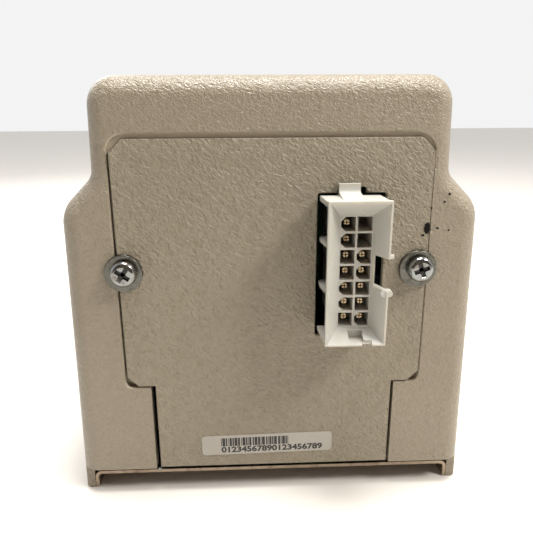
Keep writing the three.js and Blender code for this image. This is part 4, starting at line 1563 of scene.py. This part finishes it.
@dataclass
class Keypad:
    """Twelve keys with raised legends."""

    width: float = 12.6
    height: float = 8.2
    corner: float = 2.0
    edge: float = 0.75
    rim_thickness: float = 0.8
    legend_rise: float = 0.16
    legend_height: float = 4.0

    def build(self) -> None:
        """Build one key, copy it to each place, and give each its legend."""
        x, _, z = node_middle("key_0")
        master = self._cap(x, z).placed((-x, 0, -z))
        for node, legend in KEYS.items():
            x, _, z = node_middle(node)
            y = node_box(node)[0].y + self.legend_rise / 2 + 0.05
            cap = master.copy(f"{node}_finished", (x, 0, z)).dress(BOOK.key)
            cap.gather(self._legend(node, legend).placed((x, y, z)).dress(BOOK.legend)).polish()
            cap.fit(body_of(node), "key_plastic", node)
        bpy.data.objects.remove(master.body)

    def _cap(self, x: float, z: float) -> Blank:
        """Return the cap of key 0, with rounded edges and a rim behind the bezel."""
        low, high = node_box("key_0")
        face = low.y + self.legend_rise
        half, tall = self.width / 2, self.height / 2
        cap = Blank.block("key_master", (x - half, face, z - tall), (x + half, high.y, z + tall))
        cap.round_edges(lambda e: e.along(Axis.Y), self.corner, 7)
        cap.round_edges(lambda e: e.at(Axis.Y, face) and e.turn > 60, self.edge, 5)
        rim = Blank.block("rim", (low.x, high.y - self.rim_thickness, low.z), tuple(high))
        rim.round_edges(lambda e: e.along(Axis.Y), 1.0, 4)
        return cap.add(rim)

    def _legend(self, node: str, legend: str) -> Blank:
        """Return a raised digit, a left arrow or a hooked arrow, centred on the origin."""
        thick = self.legend_rise
        if legend:
            return Blank.lettering("legend", legend, self.legend_height, thick)
        near, far = -thick / 2, thick / 2
        stem = Blank.block("legend", (-1.6, near, -0.3), (2.2, far, 0.3))
        tip = Blank.bar("tip", Axis.Y, (0, 0, 0), thick, 1.25, sides=3)
        stem.gather(tip.placed((-1.9, 0, 0), (0, math.pi / 2, 0)))
        if node == "key_enter":
            stem.gather(Blank.block("hook", (1.6, near, 0.25), (2.2, far, 1.6)))
        return stem


@dataclass
class Display:
    """The window, the glass behind it and its segments."""

    digits: str = "012345"
    digit_width: float = 5.2
    digit_height: float = 10.0
    bar_width: float = 1.15
    pitch: float = 8.0
    glass_half: tuple[float, float] = (31.4, 9.6)
    glass_depth: tuple[float, float] = (0.25, 0.59)
    ink_depth: tuple[float, float] = (0.035, 0.005)
    bar_gap: float = 0.2

    def build(self) -> None:
        """Build, dress and fit the window, the frame and the glass."""
        low, high = node_box("display_window")
        pane = Blank.block("display_window_finished", tuple(low), tuple(high))
        pane.round_edges(lambda e: e.along(Axis.Y), 2.0, 7)
        pane.round_edges(lambda e: e.at(Axis.Y, low.y) and e.turn > 60, 0.35, 3)
        pane.polish().dress(BOOK.pane)
        pane.fit("casing", "clear_window", "display_window")
        module = Blank.from_node("lcd_frame_finished", "lcd_module")
        module.round_edges(lambda e: e.turn > 60, 0.25, 2, safe=True)
        module.dress(BOOK.dark)
        module.gather(self._glass()).polish()
        module.fit("casing", "dark_plastic", "lcd_module")

    def _glass(self) -> Blank:
        """Return the glass with its segments standing on it."""
        _, _, z = node_middle("lcd_module")
        face, back = (node_box("lcd_module")[0].y + depth for depth in self.glass_depth)
        half, tall = self.glass_half
        glass = Blank.block("lcd_glass", (-half, face, z - tall), (half, back, z + tall))
        glass.round_edges(lambda e: e.at(Axis.Y, face) and e.turn > 60, 0.05, 1)
        return glass.dress(BOOK.glass).gather(self._segments(face, z).dress(BOOK.segment))

    def _segments(self, face: float, z: float) -> Blank:
        """Return the digits as seven-bar figures with a unit beside them."""
        lit = {"0": "abcdef", "1": "bc", "2": "abged", "3": "abgcd", "4": "fgbc", "5": "afgcd"}
        bars = []
        start = -self.pitch * (len(self.digits) - 1) / 2 - 4
        for i, digit in enumerate(self.digits):
            for bar in lit[digit]:
                bars.append(self._bar(bar, start + i * self.pitch, face, z))
        unit = Blank.lettering("unit", "kWh", 3.2, 0.03).placed((25.5, face - 0.02, z - 3.2))
        return bars[0].gather(*bars[1:], unit)

    def _bar(self, bar: str, x: float, face: float, z: float) -> Blank:
        """Return one bar of a digit with pointed ends."""
        half, tall, thick = self.digit_width / 2, self.digit_height / 2, self.bar_width / 2
        near, far = (face - depth for depth in self.ink_depth)
        gap = self.bar_gap
        flat = {"a": tall, "g": 0.0, "d": -tall}
        if bar in flat:
            x0, x1 = x - half + gap, x + half - gap
            z0, z1 = z + flat[bar] - thick, z + flat[bar] + thick
        else:
            side = half if bar in "bc" else -half
            span = (gap, tall - gap) if bar in "bf" else (-tall + gap, -gap)
            x0, x1 = x + side - thick, x + side + thick
            z0, z1 = z + span[0], z + span[1]
        piece = Blank.block("segment", (x0, near, z0), (x1, far, z1))
        return piece.round_edges(lambda e: e.along(Axis.Y), thick * 0.95, 1)


# ---- Parts that keep their CAD shape -----------------------------------------------------------


def numbered(stem: str, count: int) -> tuple[str, ...]:
    """Return the names of a row of like nodes, counted from 1."""
    return tuple(f"{stem}_{i}" for i in range(1, count + 1))


@dataclass
class PlainParts:
    """Parts whose CAD shape is right, smoothed where they are round."""

    round_parts: tuple[tuple[Finish, tuple[str, ...]], ...] = (
        (BOOK.gasket, ("front_gasket",)),
        (BOOK.lamp, ("status_light_pipe",)),
        (BOOK.zinc, (*numbered("tray_screw", 4), *numbered("board_screw", 2))),
        (BOOK.sleeve, numbered("smoothing_capacitor", 2)),
        (BOOK.cell, ("backup_battery",)),
        (BOOK.dark, ("buzzer", "current_sensor")),
        (BOOK.wire, ("wire_harness",)),
        (BOOK.nylon, ("tamper_plunger",)),
        (BOOK.mat, ("keypad_mat",)),
    )
    square_parts: tuple[tuple[Finish, tuple[str, ...]], ...] = (
        (BOOK.board, ("main_board", "front_board")),
        (BOOK.nylon, ("board_header",)),
        (BOOK.wire, ("ribbon_cable",)),
        (BOOK.relay, ("disconnect_relay",)),
        (BOOK.core, ("mains_transformer",)),
        (BOOK.dark, ("metering_chip", "tamper_switch")),
    )

    def build(self) -> None:
        """Smooth the round parts and dress the square ones."""
        for finish, nodes in self.round_parts:
            for node in nodes:
                piece = Blank.from_node(f"{node}_finished", node)
                piece.polish(38).dress(finish)
                piece.fit(body_of(node), finish.slot, node)
        for finish, nodes in self.square_parts:
            for node in nodes:
                for slot in frame["nodes"][node].material_slots:
                    slot.material = finish.material()
                log.info("%s: keeps its shape", node)


# ---- Studio ------------------------------------------------------------------------------------


# The lights point at the middle of the meter. This is in metres.
LIGHT_AIM = (0, 0, 0.06)


@dataclass
class SoftLight:
    """A square soft light that points at the meter."""

    name: str
    place: Point
    size: float
    power: float
    colour: Colour = (1.0, 1.0, 1.0)


@dataclass
class Studio:
    """Floor, light and camera. Distances are in metres."""

    floor_size: float = 6.0
    sky: float = 0.9
    lights: tuple[SoftLight, ...] = (
        SoftLight("key_light", (-0.40, 0.22, 0.50), 0.14, 3.2, (1.0, 0.96, 0.90)),
        SoftLight("top_light", (-0.04, 0.02, 0.80), 0.30, 10.0, (1.0, 0.98, 0.95)),
        SoftLight("front_light", (0.35, -0.55, 0.45), 0.35, 1.6),
    )
    card: tuple[float, float, float] = (0.55, 1.6, 1.1)
    lens: float = 35.8
    across: float = 0.0070
    behind: float = 0.1593
    up: float = 0.1094
    tilt_down: float = 16.46
    yaw: float = 2.25
    roll: float = -0.33

    def build(self) -> None:
        """Set up the floor, the lights and the camera."""
        self._floor()
        self._card()
        self._sky()
        for light in self.lights:
            self._light(light)
        self._camera()

    def _floor(self) -> None:
        """Lay a plain pale floor."""
        bpy.ops.object.select_all(action="DESELECT")
        bpy.ops.mesh.primitive_plane_add(size=self.floor_size)
        floor = bpy.context.object
        floor.name = "floor"
        bench = ShaderBench("floor_paint")
        speckle = bench.noise(bench.place(), 40, 2.0)
        tone = bench.blend(speckle, (0.66, 0.63, 0.59), (0.70, 0.67, 0.63))
        floor.data.materials.append(bench.finish({"Base Color": tone, "Roughness": 0.9}))

    def _card(self) -> None:
        """Stand a dark card behind the camera, for the metal to reflect and to let the light rake."""
        distance, width, height = self.card
        bpy.ops.object.select_all(action="DESELECT")
        place = {"location": (0, distance, height / 2), "rotation": (math.pi / 2, 0, 0)}
        bpy.ops.mesh.primitive_plane_add(size=1, **place)
        card = bpy.context.object
        card.name = "dark_card"
        card.scale = (width, height, 1)
        bpy.ops.object.transform_apply(location=True, rotation=True, scale=True)
        bench = ShaderBench("card_paint")
        tone = bench.blend(bench.noise(bench.place(), 8, 2.0), (0.07, 0.05, 0.035), (0.10, 0.07, 0.05))
        card.data.materials.append(bench.finish({"Base Color": tone, "Roughness": 0.9}))
        card.visible_camera = False

    def _sky(self) -> None:
        """Surround the scene with soft white light."""
        world = bpy.data.worlds.new("soft_room")
        world.use_nodes = True
        background = world.node_tree.nodes["Background"]
        background.inputs["Color"].default_value = (1, 1, 1, 1)
        background.inputs["Strength"].default_value = self.sky
        bpy.context.scene.world = world
        bpy.context.scene.view_settings.view_transform = "Standard"

    @staticmethod
    def _light(light: SoftLight) -> None:
        """Hang one soft light."""
        bpy.ops.object.select_all(action="DESELECT")
        bpy.ops.object.light_add(type="AREA", location=light.place)
        lamp = bpy.context.object
        lamp.name = light.name
        lamp.data.size = light.size
        lamp.data.energy = light.power
        lamp.data.color = light.colour
        aim = Vector(LIGHT_AIM) - lamp.location
        lamp.rotation_euler = aim.to_track_quat("-Z", "Y").to_euler()

    def _camera(self) -> None:
        """Stand the camera behind the meter, looking slightly down."""
        bpy.ops.object.select_all(action="DESELECT")
        bpy.ops.object.camera_add(location=(self.across, self.behind, self.up))
        camera = bpy.context.object
        tilt, yaw = math.radians(self.tilt_down), math.radians(self.yaw)
        aim = Vector((-math.sin(yaw) * math.cos(tilt), -math.cos(yaw) * math.cos(tilt), -math.sin(tilt)))
        camera.rotation_euler = aim.to_track_quat("-Z", "Y").to_euler()
        camera.rotation_euler.rotate_axis("Z", math.radians(self.roll))
        camera.data.lens = self.lens
        camera.data.sensor_width = 36
        camera.data.clip_start = 0.005
        bpy.context.scene.camera = camera


def main() -> None:
    """Build the meter part by part, then the studio."""
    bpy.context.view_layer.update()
    form = CasingForm()
    for part in (
        HousingShell(form),
        RearCover(),
        CoverFasteners(),
        BaseTray(),
        SerialLabel(),
        PlugConnector(),
        FrontBezel(form),
        Keypad(),
        Display(),
        PlainParts(),
        Studio(),
    ):
        log.info("building %s", type(part).__name__)
        part.build()


if __name__ == "__main__":
    main()
